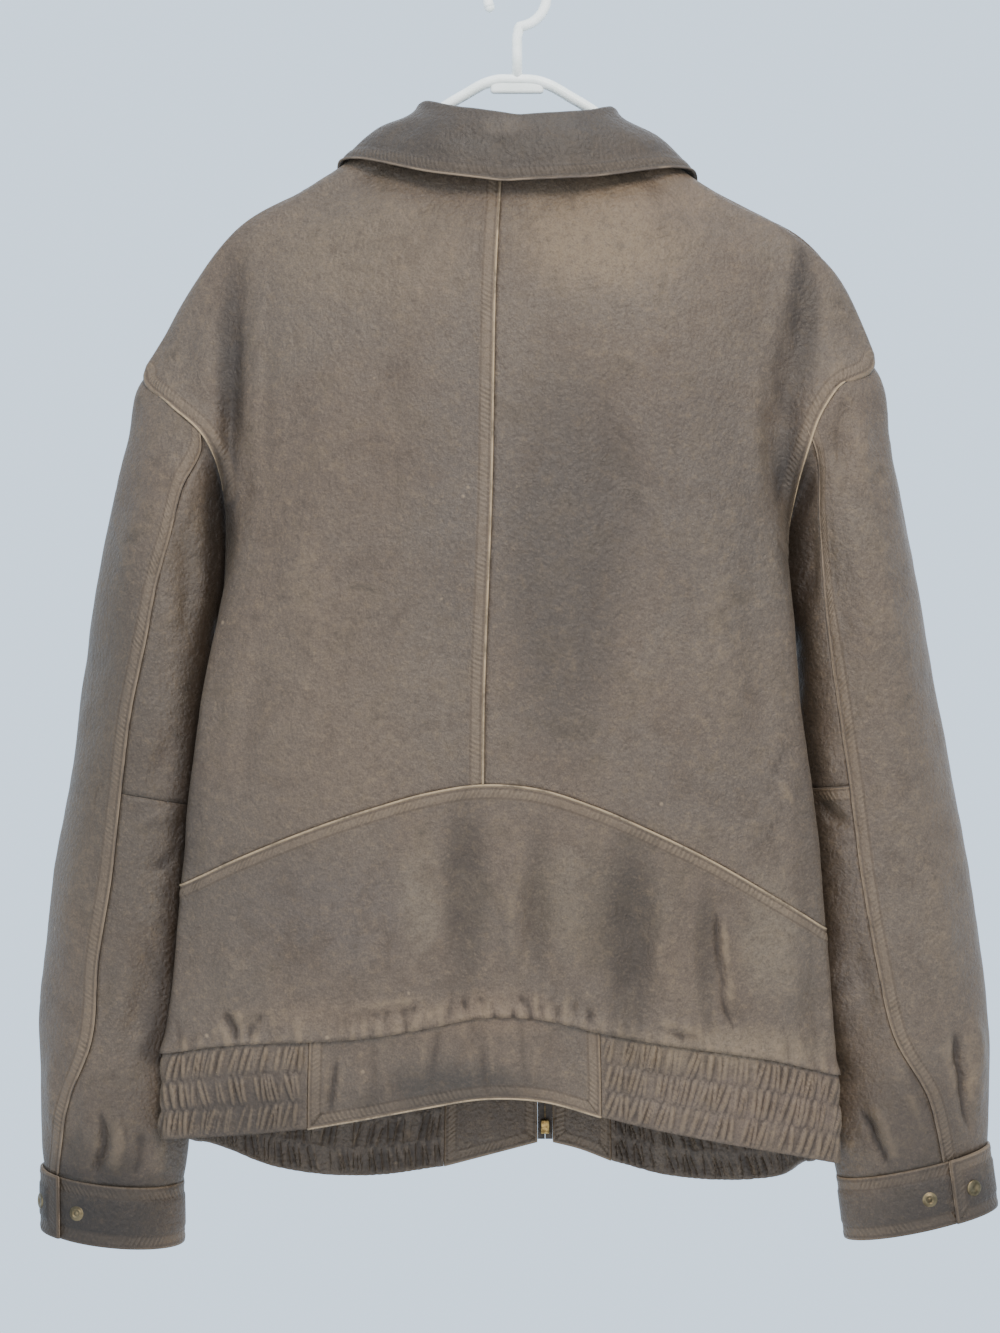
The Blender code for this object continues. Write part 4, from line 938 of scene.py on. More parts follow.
# Folds and creases, in mm: the line as x and z, width, depth (a valley is negative), and how it fades
folds = {
    "back": (
        # left of the shoulder, where the drop shoulder folds over the hanger's end
        (((-206, -196), (-206, -232), (-209, -268), (-212, -312), (-213, -352), (-213, -400)), 9, -8.5, 0.18),
        (((-190, -214), (-191, -262), (-192, -312), (-193, -372), (-194, -430)), 6.5, 1.7, 0.3),
        (((-186, -250), (-187, -320), (-188, -390)), 7, -2.4, 0.4),
        (((-228, -248), (-232, -290), (-231, -332)), 8, 2.2, 0.4),
        # right shoulder: a broad soft valley
        (((217, -212), (218, -250), (209, -278), (200, -308), (197, -342), (197, -380),
        (199, -420)), 13, -8.5, 0.3),
        (((196, -216), (192, -250), (184, -296), (178, -346), (180, -410)), 9, 3.4, 0.35),
        (((222, -232), (224, -262), (220, -292)), 7, 3.3, 0.4),
        (((205, -196), (214, -214), (212, -246)), 4, -1.8, 0.4),
        # soft drape below the shoulders
        (((-86, -210), (-92, -330), (-96, -480)), 26, -3.3, 0.5),
        (((-140, -300), (-150, -440), (-158, -600)), 22, 3.3, 0.5),
        (((62, -260), (78, -380), (84, -520)), 30, -3.9, 0.5),
        (((130, -300), (142, -440), (150, -620)), 24, 3.6, 0.5),
        (((168, -430), (176, -540), (184, -640)), 12, -3.0, 0.5),
        (((-60, -160), (-110, -190), (-165, -205)), 16, 2.4, 0.5),
        (((40, -165), (96, -190), (150, -212)), 18, 2.7, 0.5),
        (((-186, -470), (-196, -560), (-206, -640)), 10, -2.7, 0.5),
        (((24, -420), (34, -500), (36, -590)), 14, 2.1, 0.5),
        (((-60, -440), (-52, -520), (-48, -590)), 14, -2.0, 0.5),
        # creases above the right end of the arched seam
        (((206, -560), (190, -596), (176, -640)), 4.5, -1.5, 0.5),
        (((198, -610), (182, -646), (168, -664)), 4, -1.3, 0.5),
        (((176, -590), (196, -612), (208, -640)), 4, 1.0, 0.5),
        (((150, -640), (176, -652), (200, -650)), 4, -1.0, 0.5),
        # the lower back
        (((142, -684), (147, -724), (152, -762), (161, -800)), 2.4, -2.7, 0.16),
        (((134, -690), (138, -730), (142, -770)), 9, -2.2, 0.4),
        (((148, -690), (153, -736), (160, -786)), 4.5, 2.2, 0.3),
        (((84, -660), (86, -720), (80, -796)), 13, -4.4, 0.4),
        (((106, -668), (106, -716), (102, -770)), 10, 3.2, 0.4),
        (((-36, -628), (-40, -680), (-46, -752)), 11, -3.8, 0.4),
        (((-4, -642), (-6, -690), (-4, -752)), 9, 3.6, 0.35),
        (((12, -660), (13, -712), (15, -760)), 9, -3.0, 0.4),
        (((36, -640), (40, -690), (40, -744)), 11, 2.2, 0.4),
        (((-130, -769), (-92, -765), (-52, -760)), 3.4, 1.7, 0.4),
        (((-132, -776), (-92, -772), (-50, -768)), 3.6, -1.4, 0.4),
        (((90, -780), (118, -784), (146, -792)), 4, 1.6, 0.4),
        (((92, -786), (120, -791), (144, -798)), 3.2, -1.4, 0.4),
        (((-218, -768), (-208, -784), (-200, -800)), 4, -2.8, 0.3),
        (((-186, -768), (-192, -786), (-197, -800)), 3.6, -2.5, 0.3),
        (((-204, -770), (-203, -784)), 4, 1.6, 0.4),
        (((-158, -700), (-170, -740), (-176, -782)), 9, -2.4, 0.5),
        (((-206, -700), (-212, -740), (-216, -780)), 12, 2.7, 0.5),
        (((-112, -690), (-110, -730), (-118, -770)), 10, 2.1, 0.5),
        (((190, -700), (196, -742), (204, -790)), 9, 3.0, 0.5),
        (((214, -726), (220, -770), (226, -808)), 8, -2.4, 0.5),
        (((-38, -762), (-37, -777)), 2.6, -1.6, 0.3),
        (((-26, -758), (-25, -775)), 2.8, -1.8, 0.3),
        (((-13, -760), (-12, -774)), 2.6, -1.7, 0.3),
        (((0, -758), (2, -775)), 2.8, -2.0, 0.3),
        (((14, -762), (17, -778)), 2.6, -1.6, 0.3),
        (((30, -764), (32, -781)), 3.0, -1.7, 0.3),
        (((56, -770), (57, -786)), 3.4, -1.4, 0.3),
    ),
    "sleeveLeft": (
        (((-262, -372), (-279, -420), (-290, -470)), 12, 3.6, 0.4),
        (((-247, -405), (-246, -450), (-243, -505)), 8, -3.9, 0.4),
        (((-300, -470), (-311, -540), (-322, -610)), 18, -3.0, 0.5),
        (((-250, -560), (-262, -600), (-280, -625)), 8, -2.7, 0.5),
        (((-240, -610), (-258, -630), (-286, -640)), 6, 2.4, 0.5),
        (((-242, -650), (-262, -668), (-290, -672)), 5, -1.8, 0.5),
        (((-318, -620), (-328, -700), (-334, -780)), 14, 2.7, 0.5),
        (((-262, -700), (-276, -760), (-288, -820)), 10, -3.9, 0.5),
        (((-244, -720), (-252, -790), (-262, -850)), 9, 3.0, 0.5),
        (((-300, -720), (-306, -776), (-310, -830)), 7, -2.7, 0.5),
        (((-306, -844), (-308, -876), (-314, -904)), 3.2, -4.4, 0.2),
        (((-296, -850), (-296, -878), (-300, -902)), 5, 2.8, 0.3),
        (((-278, -858), (-280, -884), (-282, -904)), 5, -2.5, 0.3),
        (((-264, -866), (-265, -886), (-264, -904)), 5, 1.8, 0.3),
        (((-330, -830), (-332, -860), (-338, -888)), 6, -3.0, 0.3),
        (((-346, -800), (-345, -840), (-346, -880)), 6, 2.4, 0.4),
    ),
    "sleeveRight": (
        (((244, -316), (238, -352), (237, -380)), 7, -6.0, 0.3),
        (((256, -326), (252, -366), (256, -410)), 9, 3.6, 0.4),
        (((222, -400), (216, -450), (214, -500)), 7, -3.3, 0.4),
        (((262, -420), (276, -500), (290, -580)), 20, 3.0, 0.5),
        (((298, -470), (312, -560), (322, -640)), 12, -3.0, 0.5),
        (((222, -560), (236, -606), (252, -640)), 9, 2.7, 0.5),
        (((216, -606), (236, -632), (262, -648)), 6, -3.0, 0.5),
        (((228, -650), (250, -668), (280, -672)), 6, 2.2, 0.5),
        (((300, -640), (318, -716), (330, -790)), 14, 2.7, 0.5),
        (((240, -690), (256, -750), (270, -800)), 10, -3.9, 0.5),
        (((226, -700), (238, -770), (252, -830)), 8, 3.0, 0.5),
        (((322, -780), (329, -820), (338, -874)), 3.6, -4.8, 0.2),
        (((338, -770), (342, -820), (346, -862)), 7, 3.9, 0.35),
        (((252, -846), (263, -868), (278, -894)), 2.8, -4.4, 0.2),
        (((258, -840), (270, -862), (284, -888)), 5, 2.8, 0.3),
        (((240, -850), (246, -872), (252, -892)), 5, 1.8, 0.3),
        (((286, -806), (302, -842), (316, -876)), 4.5, -4.4, 0.2),
        (((286, -830), (294, -850), (304, -872)), 4, 1.6, 0.3),
    ),
    "front": (
        (((-150, -230), (-140, -330), (-120, -450)), 16, -4.5, 0.4),
        (((140, -232), (132, -330), (116, -460)), 16, -4.5, 0.4),
        (((-190, -240), (-196, -310), (-196, -390)), 9, -7.5, 0.3),
        (((188, -240), (188, -310), (184, -390)), 9, -7.5, 0.3),
        (((-60, -300), (-66, -460), (-60, -620)), 24, 3.9, 0.5),
        (((66, -300), (72, -460), (74, -640)), 24, 3.9, 0.5),
        (((-30, -330), (-24, -480), (-18, -640)), 12, -3.3, 0.5),
        (((34, -340), (36, -480), (40, -650)), 12, -3.3, 0.5),
        (((-130, -520), (-146, -620), (-150, -740)), 14, -4.5, 0.45),
        (((124, -520), (138, -640), (140, -750)), 14, -4.5, 0.45),
        (((-176, -560), (-184, -660), (-186, -760)), 12, 3.9, 0.5),
        (((164, -560), (172, -660), (178, -760)), 12, 3.9, 0.5),
        (((-96, -700), (-100, -760), (-104, -826)), 8, -4.8, 0.3),
        (((88, -690), (94, -770), (98, -830)), 8, -4.8, 0.3),
        (((-52, -740), (-56, -790), (-54, -830)), 6, 3.0, 0.35),
        (((52, -746), (58, -790), (60, -826)), 6, 3.0, 0.35),
    ),
    "collar": (
        (((-60, -128), (-34, -132), (-8, -130)), 8, -1.8, 0.5),
        (((10, -128), (40, -130), (66, -124)), 9, 1.5, 0.5),
        (((-96, -134), (-84, -122), (-66, -114)), 7, -2.1, 0.5),
        (((-16, -124), (-12, -136), (-10, -150)), 6, -1.5, 0.5),
        (((74, -118), (90, -132), (104, -142)), 6, 1.8, 0.5),
    ),
}

foldSway = {"slow": (46, 3.2), "fast": (15, 1.2), "uneven": 0.45, "leastFade": 0.3, "ends": (0.55, 0.45),
            "creaseWidth": 6}


# Heights of the folds, and of the narrow ones alone, which sway and change a little along their lines
def foldHeight(table, points, facing):
    (slow, slowBy), (fast, fastBy) = foldSway["slow"], foldSway["fast"]
    sway = np.array([[noise.noise_vector(Vector(p) / slow) * slowBy
                      + noise.noise_vector(Vector(p) / fast) * fastBy for p in line] for line in points])
    flat = points[..., (0, 2)] + sway[..., (0, 2)]
    uneven = 1 + foldSway["uneven"] * sway[..., 1] / slowBy
    height, creases = np.zeros(points.shape[:2]), np.zeros(points.shape[:2])
    for line, width, depth, fade in table:
        line = np.array(line, float)
        reach = np.concatenate([[0], np.cumsum(np.linalg.norm(np.diff(line, axis=0), axis=1))])
        nearest, share = np.full(height.shape, 1e9), np.zeros(height.shape)
        for k in range(len(line) - 1):
            way = line[k + 1] - line[k]
            t = np.clip(((flat - line[k]) @ way) / (way @ way), 0, 1)
            away = np.linalg.norm(flat - line[k] - t[..., None] * way, axis=-1)
            closer = away < nearest
            nearest = np.where(closer, away, nearest)
            share = np.where(closer, (reach[k] + t * (reach[k + 1] - reach[k])) / reach[-1], share)
        fade = max(fade, foldSway["leastFade"])
        ends = smoothStep(share, 0, fade) * smoothStep(1 - share, 0, fade)  # it narrows and sinks away there
        least, more = foldSway["ends"]
        body = depth * uneven * ends * np.exp(-((nearest / (width * (least + more * ends))) ** 2))
        height += body
        if width < foldSway["creaseWidth"]:
            creases += body
    return height * facing, creases * facing


unevenLeather = {  # spans of its waves and creasing in mm, along x, y and z
    "slow": (46, 60, 66), "fine": (17, 22, 19), "fineShare": 0.3, "drift": (70, 1.6), "crease": (26, 30, 34),
    "creaseDrift": 1.7, "creaseWidth": 0.07, "creaseHeight": 2.2, "gate": (58, (7, 3, 1)),
    # height of the waves, depth of the creasing, and the share kept at a seam
    "kinds": {"waist": (0.35, 0.2, 0.0), "cuff": (0.3, 0.3, 1.0), "collar": (0.7, 0.25, 0.0),
              "sleeve": (1.6, 0.5, 0.2), "": (1.2, 0.32, 0.2)},
}


def spanned(p, spans):
    return Vector((p.x / spans[0], p.y / spans[1], p.z / spans[2]))


# Uneven leather: slow waves and finer creasing, the same for every piece at the same place
def unevenness(points, wave, crease):
    u = unevenLeather
    height = np.zeros(points.shape[:2])
    for i, line in enumerate(points):
        for j, place in enumerate(line):
            p = Vector(place)
            slow = noise.noise(spanned(p, u["slow"]))
            drift = noise.noise_vector(p / u["drift"][0]) * u["drift"][1]
            fine = noise.noise(spanned(p, u["fine"]) + drift)
            ridge = abs(noise.noise(spanned(p, u["crease"]) + drift * u["creaseDrift"]))
            ridge = 1 - min(ridge / u["creaseWidth"], 1.0)
            gate = max(0.0, noise.noise(p / u["gate"][0] + Vector(u["gate"][1])))
            height[i, j] = wave * slow + u["fineShare"] * wave * fine - (
                crease * ridge * ridge * gate * u["creaseHeight"])
    return height


gathers = {  # in mm, from least to most where there are two
    "channels": 3, "height": 2.4, "between": 0.5, "pitch": 3.9, "spacing": (0.55, 1.5), "beyond": (-4.0, 10),
    "slant": 5.0, "otherSlant": 0.7, "shift": 1.4, "strength": (0.35, 1.2), "width": (0.8, 1.5), "tilt": 3.8,
    "missing": 0.12, "top": 5.0, "fullness": 0.6,
}
bandCreases = {  # how many, where along, strength, width, tilt and depth
    "waist_back": (22, (0.04, 0.96), (0.4, 1.0), (3, 7), 14, 1.3),
    "waist_front": (9, (0.05, 0.95), (0.3, 0.8), (3, 6), 0, 1.0),
}


# Shirred bands: ridges between the rows of elastic, drawn in along the rows themselves
def shirredHeight(name, across, share, shake):
    g = gathers
    channel = np.clip((share * g["channels"]).astype(int), 0, g["channels"] - 1)
    inside = share * g["channels"] - channel
    full = np.sin(math.pi * inside) ** g["fullness"]
    height = np.zeros(across.shape)
    base, at = [], g["beyond"][0]
    while at < across.max() + g["beyond"][1]:
        base.append(at)
        at += g["pitch"] * shake.uniform(*g["spacing"])
    for c in range(g["channels"]):
        lean = g["slant"] * (1 if name.endswith("right") else (-1) ** c * g["otherSlant"])
        marks = [(at + shake.uniform(-g["shift"], g["shift"]) + lean * (c - 1), shake.uniform(*g["strength"]),
                  shake.uniform(*g["width"]), shake.uniform(-g["tilt"], g["tilt"]))
                 for at in base if shake.random() > g["missing"]]
        ridge = np.zeros(across.shape)
        for at, strong, wide, tilt in marks:
            away = across - at - (lean + tilt) * (0.5 - inside)
            ridge = np.maximum(ridge, strong * np.exp(-((away / wide) ** 2)))
        height = np.where(channel == c, ridge * full * g["height"] - g["between"] * (1 - full), height)
    return height


# The waistband's gathers or creases
def bandHeight(name, points, seed):
    across, down = reachAlong(points.transpose(1, 0, 2)).T, np.maximum(reachAlong(points) - gathers["top"], 0)
    share = down / down[-1:]
    shake = random.Random(seed)
    if "elastic" in name:
        return shirredHeight(name, across, share, shake)
    count, spread, strength, width, lean, depth = kindOf(bandCreases, name)
    marks = [(shake.uniform(*spread), shake.uniform(*strength), shake.uniform(*width),
              shake.uniform(-lean, lean) if lean else 0) for _ in range(count)]
    height = np.zeros(across.shape)
    for at, strong, wide, tilt in marks:
        away = across - at * across.max() - tilt * share
        height -= depth * strong * np.exp(-((away / wide) ** 2)) * np.sin(math.pi * share) ** 0.5
    return height


# Leather, lining, thread and metal

leather = {
    "brown": "#4e4135", "tan": "#5e4f3d", "grey": "#4e4338", "dark": "#3a2d20", "rub": "#72604a",
    "deep": "#251a10", "edge": "#6e5c47", "speck": "#7d6b55", "collarTint": "#15100b", "tintShare": 0.6,
    "roughness": 0.62, "relief": 1.1,
    # scale, detail, roughness and distortion of patterns of 110, 48, 30, 7 and 1.3 mm
    "noises": ((9.0, 4.0, 0.6, 0.6), (21.0, 2.0, 0.5, 0.0), (34.0, 4.0, 0.62, 0.4), (150.0, 4.0, 0.7, 0.0),
               (760.0, 2.0, 0.7, 0.0)),
    "grainScale": 340.0, "fleckScale": 48.0, "markScale": 150.0,  # pebbles of 3 mm, scuffs of 21, marks of 7
    # spacing in mm, how far they slant, where they start and end, and how the blotches break them up
    "ribs": {"pitch": 3.6, "slant": 0.55, "within": ((1.6, 2.6), (10.6, 9.0)),
             "broken": (0.4, 0.62, 0.12, 1.0)},
    # the leather's own stains, rubs and uneven tone, and painted shade and light where marked, as soft
    # ellipsoids: centre, radii in mm, colour, strength
    "tonesAndPaintedShading": (
        ((62, -50, -200), (96, 120, 66), "#675642", 0.85),
        ((110, -50, -160), (90, 120, 60), "#61503f", 0.55),
        ((-110, -50, -215), (110, 120, 60), "#5e4f3d", 0.45),
        ((-150, -50, -560), (120, 120, 150), "#57493b", 0.55),
        ((-34, -50, -390), (64, 120, 180), "#433b34", 0.65),
        ((34, -50, -450), (66, 120, 190), "#3d352e", 0.65),
        ((120, -50, -370), (110, 120, 130), "#483c32", 0.5),
        ((140, -50, -600), (110, 120, 70), "#473d34", 0.55),
        ((-130, -50, -700), (110, 120, 60), "#4b423b", 0.6),
        ((60, -50, -690), (90, 120, 60), "#41392d", 0.5),
        ((120, -50, -745), (60, 120, 50), "#594a3b", 0.4),
        ((-80, -50, -775), (170, 120, 20), "#61503f", 0.5),
        ((150, -50, -800), (120, 120, 24), "#665745", 0.75),
        ((-10, -50, -770), (60, 120, 24), "#614f3f", 0.45),
        ((-60, -50, -815), (70, 120, 26), "#443b32", 0.6),
        # the next: painted shade over the left sleeve
        ((-290, -30, -620), (60, 90, 300), "#393129", 0.5),
        ((-320, 0, -560), (60, 120, 260), "#584937", 0.4),
        ((330, 0, -560), (60, 120, 260), "#584837", 0.4),
        ((250, 0, -690), (30, 120, 160), "#4a3f37", 0.45),
        # painted shade in the left shoulder's fold, in the wedges and gaps between sleeves and body, over the
        # body's right side by the armhole, and in the right shoulder's valley
        ((-211, 0, -300), (17, 80, 110), "#2a2018", 0.9),
        ((-216, 10, -420), (24, 80, 110), "#1d1611", 1.0),
        ((-214, 0, -480), (34, 80, 240), "#30261d", 0.6),
        ((206, 0, -520), (32, 80, 240), "#30261d", 0.6),
        ((206, 10, -420), (25, 90, 170), "#2a2018", 0.95),
        ((150, -45, -420), (110, 80, 200), "#494139", 0.45),
        ((212, 0, -262), (18, 80, 80), "#33281e", 0.85),
        # painted shade in the lower back's fold valleys, then painted light on the ridges between them
        ((-38, -50, -680), (25, 120, 112), "#33291f", 0.6),
        ((16, -50, -690), (17, 120, 90), "#33291f", 0.45),
        ((82, -50, -716), (30, 120, 112), "#33291f", 0.75),
        ((138, -50, -730), (15, 120, 74), "#33291f", 0.5),
        ((-70, -50, -690), (26, 120, 66), "#6a5d4c", 0.45),
        ((34, -50, -690), (26, 120, 70), "#615547", 0.4),
        ((184, -50, -715), (34, 120, 66), "#6a5d4c", 0.4),
        # painted shade over the cuffs and the left elastic, painted light on the band's right, painted shade
        # over the centre band
        ((-320, 0, -930), (90, 110, 74), "#19140f", 1.0),
        ((320, 0, -930), (90, 110, 64), "#2a231d", 0.8),
        ((-205, -30, -848), (76, 90, 54), "#312923", 0.7),
        ((170, -50, -842), (130, 100, 44), "#67564a", 0.4),
        ((-42, -50, -838), (84, 80, 40), "#35322d", 0.65),
        ((-12, -45, -122), (26, 60, 12), "#786a5b", 0.5),
        ((-4, -45, -138), (70, 60, 12), "#443b30", 0.4),
    ),
    # painted shade in hollows, gaps and folds, and over the cuffs and band, laid over everything else:
    # centre, radii in mm, share
    "shade": "#1b140e",
    "paintedShades": (
        ((-213, 0, -300), (17, 80, 110), 0.6), ((-219, 10, -425), (22, 80, 105), 0.85),
        ((214, 0, -262), (18, 80, 84), 0.38), ((200, 10, -405), (23, 90, 150), 0.65),
        ((-240, 0, -600), (24, 80, 240), 0.45), ((214, 0, -640), (24, 80, 210), 0.45),
        ((82, -50, -716), (28, 120, 110), 0.24), ((-38, -50, -680), (24, 120, 110), 0.18),
        ((16, -50, -690), (15, 120, 80), 0.1), ((138, -50, -730), (12, 120, 70), 0.2),
        ((-320, 0, -930), (90, 110, 76), 0.68), ((320, 0, -930), (90, 110, 66), 0.52),
        ((34, -50, -430), (66, 120, 210), 0.32), ((120, -50, -390), (110, 120, 130), 0.18),
        ((196, -30, -262), (60, 80, 70), 0.2), ((-300, 0, -560), (70, 120, 280), 0.22),
        ((-170, -50, -846), (100, 100, 40), 0.28), ((-42, -50, -836), (98, 90, 36), 0.5),
        ((292, 0, -858), (60, 110, 64), 0.36), ((-296, 0, -856), (56, 110, 60), 0.25),
        ((-190, -40, -660), (90, 90, 140), 0.14), ((-110, -40, -430), (90, 90, 200), 0.1),
    ),
}


def noiseNode(tree, coords, scale, detail=4.0, rough=0.5, warp=0.0):
    return addNode(tree, "ShaderNodeTexNoise", {"Vector": coords, "Scale": scale, "Detail": detail,
                                                "Roughness": rough, "Distortion": warp})


# Each soft ellipsoid's strength, from 0 outside it, with its edge broken up by the blotches
def softPlaces(tree, coords, blotch):
    drift = mathNode(tree, "MULTIPLY_ADD", blotch, 0.5, -0.25)
    tonesAndPaintedShading = []
    for centre, radii, *_ in leather["tonesAndPaintedShading"] + leather["paintedShades"]:
        size = [1 / (r * mm) for r in radii]
        spot = addNode(tree, "ShaderNodeMapping", {"Vector": coords, "Scale": size, "Location": [
            -c * mm * s for c, s in zip(centre, size)]}, vector_type="POINT")
        ball = addNode(tree, "ShaderNodeTexGradient", {"Vector": spot}, "Fac", gradient_type="SPHERICAL")
        tonesAndPaintedShading.append(mathNode(tree, "ADD", ball, drift))
    return tonesAndPaintedShading


# The slanted ribs that a seam's stitches draw up between its two rows
def seamRibs(tree, run, away, blotch):
    rib = leather["ribs"]
    slant = mathNode(tree, "MULTIPLY_ADD", away, rib["slant"], run)
    turns = mathNode(tree, "MULTIPLY", slant, 2 * math.pi / (rib["pitch"] * mm))
    wave = mathNode(tree, "SINE", turns)
    inner, outer = (rampNode(tree, away, low * mm, high * mm) for low, high in rib["within"])
    within = mathNode(tree, "MULTIPLY", inner, outer)
    within = mathNode(tree, "MULTIPLY", within, rampNode(tree, blotch, *rib["broken"]))
    return mathNode(tree, "MULTIPLY", wave, within)


def leatherMaterial(name, tint=None):
    # Pull-up nubuck: waxed, buffed cowhide. Its nap scatters light softly, it pales where it is rubbed and
    # creased, and a fine pebble grain of 1 to 3 mm shows under a low sheen.
    made, tree, shader = newMaterial(name, leather["roughness"])
    coords = addNode(tree, "ShaderNodeTexCoord", {}, "Object")
    seamMap = addNode(tree, "ShaderNodeUVMap", {}, uv_map="seam")
    run = addNode(tree, "ShaderNodeSeparateXYZ", {0: seamMap})
    away = run.node.outputs[1]
    wearShade = addNode(tree, "ShaderNodeAttribute", {}, "Fac", attribute_name="wearShade")
    cloudy, patchy, blotch, mottle, nap = (noiseNode(tree, coords, *values) for values in leather["noises"])
    colour = layered(tree, leather["grey"], ((cloudy, 0.34, 0.66, 1, leather["brown"]),))
    soft = softPlaces(tree, coords, blotch)
    placed, shaded = soft[:len(leather["tonesAndPaintedShading"])], soft[len(leather["tonesAndPaintedShading"]):]
    colour = layered(tree, colour, [(value, 0.05, 0.7, strength, hue) for value, (_, _, hue, strength) in zip(
        placed, leather["tonesAndPaintedShading"])])
    ribs = seamRibs(tree, run, away, blotch)
    fray = mathNode(tree, "MULTIPLY_ADD", mottle, 0.0012, away)  # a seam's distance, frayed
    besideRows = [mathNode(tree, "ABSOLUTE", mathNode(tree, "SUBTRACT", away, inset * mm))
                  for inset in topstitch["rows"]]
    rubbed = mathNode(tree, "MULTIPLY_ADD", mottle, 0.5, wearShade)
    # small scuffs: sparse pale specks
    flecks = addNode(tree, "ShaderNodeTexVoronoi", {"Vector": coords, "Scale": leather["fleckScale"]},
                     "Distance", feature="F1")
    specks = mathNode(tree, "ADD", flecks, rampNode(tree, patchy, 0.5, 0.64, 0.3, 0.0))
    colour = layered(tree, colour, (
        (blotch, 0.5, 0.7, 0.45, leather["tan"]), (blotch, 0.5, 0.3, 0.4, leather["dark"]),
        (mottle, 0.5, 0.72, 0.3, leather["rub"]), (mottle, 0.5, 0.3, 0.4, leather["dark"]),
        (nap, 0.46, 0.75, 0.28, leather["rub"]), (nap, 0.56, 0.28, 0.44, leather["dark"]),
        # pale where rubbed, as wear, also lifted on broad ridges as painted light; dark in hollows, broad
        # valleys and where sleeve meets body: painted shade
        (rubbed, 0.78, 1.3, 0.46, leather["rub"]), (wearShade, 0.45, -0.15, 0.85, leather["deep"]),
        (fray, (topstitch["reach"] + 0.6) * mm, (topstitch["reach"] - 2.4) * mm, 0.3, leather["edge"]),
        (fray, 2.4 * mm, 1.1 * mm, 0.7, leather["edge"]),
        (ribs, 0.15, 1.0, 0.16, leather["speck"]), (ribs, -0.15, -1.0, 0.3, leather["dark"]),
        # darker along each stitch row: painted shade in its groove
        *((gap, 1.2 * mm, 0.5 * mm, 0.5, leather["dark"]) for gap in besideRows),
        (specks, 0.1, 0.03, 0.6, leather["speck"]),
        # painted shade, laid last
        *((value, 0.02, 0.62, strength, leather["shade"]) for value, (_, _, strength) in zip(
            shaded, leather["paintedShades"]))))
    if tint:
        share = leather["tintShare"]
        colour = addNode(tree, "ShaderNodeMix", {0: share, 6: colour, 7: tint}, 2, data_type="RGBA")
    tree.links.new(colour, shader.inputs["Base Color"])
    grain = addNode(tree, "ShaderNodeTexVoronoi", {"Vector": coords, "Scale": leather["grainScale"]},
                    "Distance", feature="SMOOTH_F1")
    drawn = addNode(tree, "ShaderNodeMapping", {"Vector": coords, "Scale": (1.3, 1.3, 1.0)})
    marks = noiseNode(tree, drawn, leather["markScale"], 5.0, 0.6, 1.2)
    height = mathNode(tree, "MULTIPLY", nap, 0.5)
    for value, share in ((grain, -0.9), (marks, 1.5), (ribs, 0.3)):
        height = mathNode(tree, "MULTIPLY_ADD", value, share, height)
    bump = addNode(tree, "ShaderNodeBump", {"Strength": 0.7, "Distance": leather["relief"] * mm,
                                            "Height": height})
    tree.links.new(bump, shader.inputs["Normal"])
    gloss = mathNode(tree, "MULTIPLY_ADD", mottle, 0.34, 0.22)
    gloss = mathNode(tree, "MULTIPLY_ADD", cloudy, 0.26, gloss)
    tree.links.new(gloss, shader.inputs["Roughness"])
    shader.inputs["Specular IOR Level"].default_value = 0.42
    shader.inputs["Sheen Weight"].default_value = 0.1
    shader.inputs["Sheen Roughness"].default_value = 0.5
    shader.inputs["Sheen Tint"].default_value = (*tone("#cdbda8"), 1)
    return made


# Plainer materials: a colour with hues laid over it where noises of so many mm pass from low to high, then
# the bump's depth in mm, taken from the last noise
def plainMaterial(name, colour, layers, roughness, metallic=0.0, ior=1.45, bump=0.0):
    made, tree, shader = newMaterial(name, roughness, metallic, ior)
    coords = addNode(tree, "ShaderNodeTexCoord", {}, "Object")
    laid = []
    for size, low, high, most, hue in layers:
        value = noiseNode(tree, coords, 1000 / size)
        laid.append((value, low, high, most, hue))
    tree.links.new(layered(tree, colour, laid), shader.inputs["Base Color"])
    dull = mathNode(tree, "MULTIPLY_ADD", value, 0.24, roughness - 0.12)
    tree.links.new(dull, shader.inputs["Roughness"])
    if bump:
        relief = addNode(tree, "ShaderNodeBump", {"Strength": 0.5, "Distance": bump * mm, "Height": value})
        tree.links.new(relief, shader.inputs["Normal"])
    return made


nubuck = leatherMaterial("nubuckCowhide")
nubuckCollar = leatherMaterial("nubuckCowhideCollar", leather["collarTint"])
# Polyester taffeta: a close plain weave with a soft silky sheen, navy gone dusty
lining = plainMaterial("liningTaffeta", "#20232b", (
    (33, 0.3, 0.7, 1, "#2f333e"), (1.1, 0.4, 0.7, 0.3, "#3b404c")), 0.52, ior=1.5, bump=0.15)
# Bonded nylon thread: 0.6 mm, twisted, with a low even sheen
thread = plainMaterial("bondedNylonThread", "#5d4f40", ((16, 0.3, 0.6, 1, "#a08c70"),), 0.55, ior=1.53)
# The turned edge of the same leather, rubbed through to its paler tan
turnedEdge = plainMaterial("rubbedLeatherEdge", "#5f513f", (
    (24, 0.36, 0.6, 1, "#8c785c"), (2.4, 0.4, 0.7, 0.5, "#9c886d")), 0.68, bump=0.35)
# The same edge where it is less rubbed
dullEdge = plainMaterial("dullLeatherEdge", "#463b31", ((24, 0.36, 0.6, 1, "#6d5d4b"),), 0.68)
# Antiqued brass: cast, blackened in its low places and polished back where hands touch it
brass = plainMaterial("antiquedBrass", "#4a4131", ((7, 0.36, 0.64, 1, "#75684f"),), 0.46, 1.0)
# Zip brass: drawn wire and die-cast slider, its plating worn through to a dull yellow
zipBrass = plainMaterial("wornZipBrass", "#5c4b2e", ((2.4, 0.36, 0.6, 1, "#9c8352"),), 0.36, 1.0)
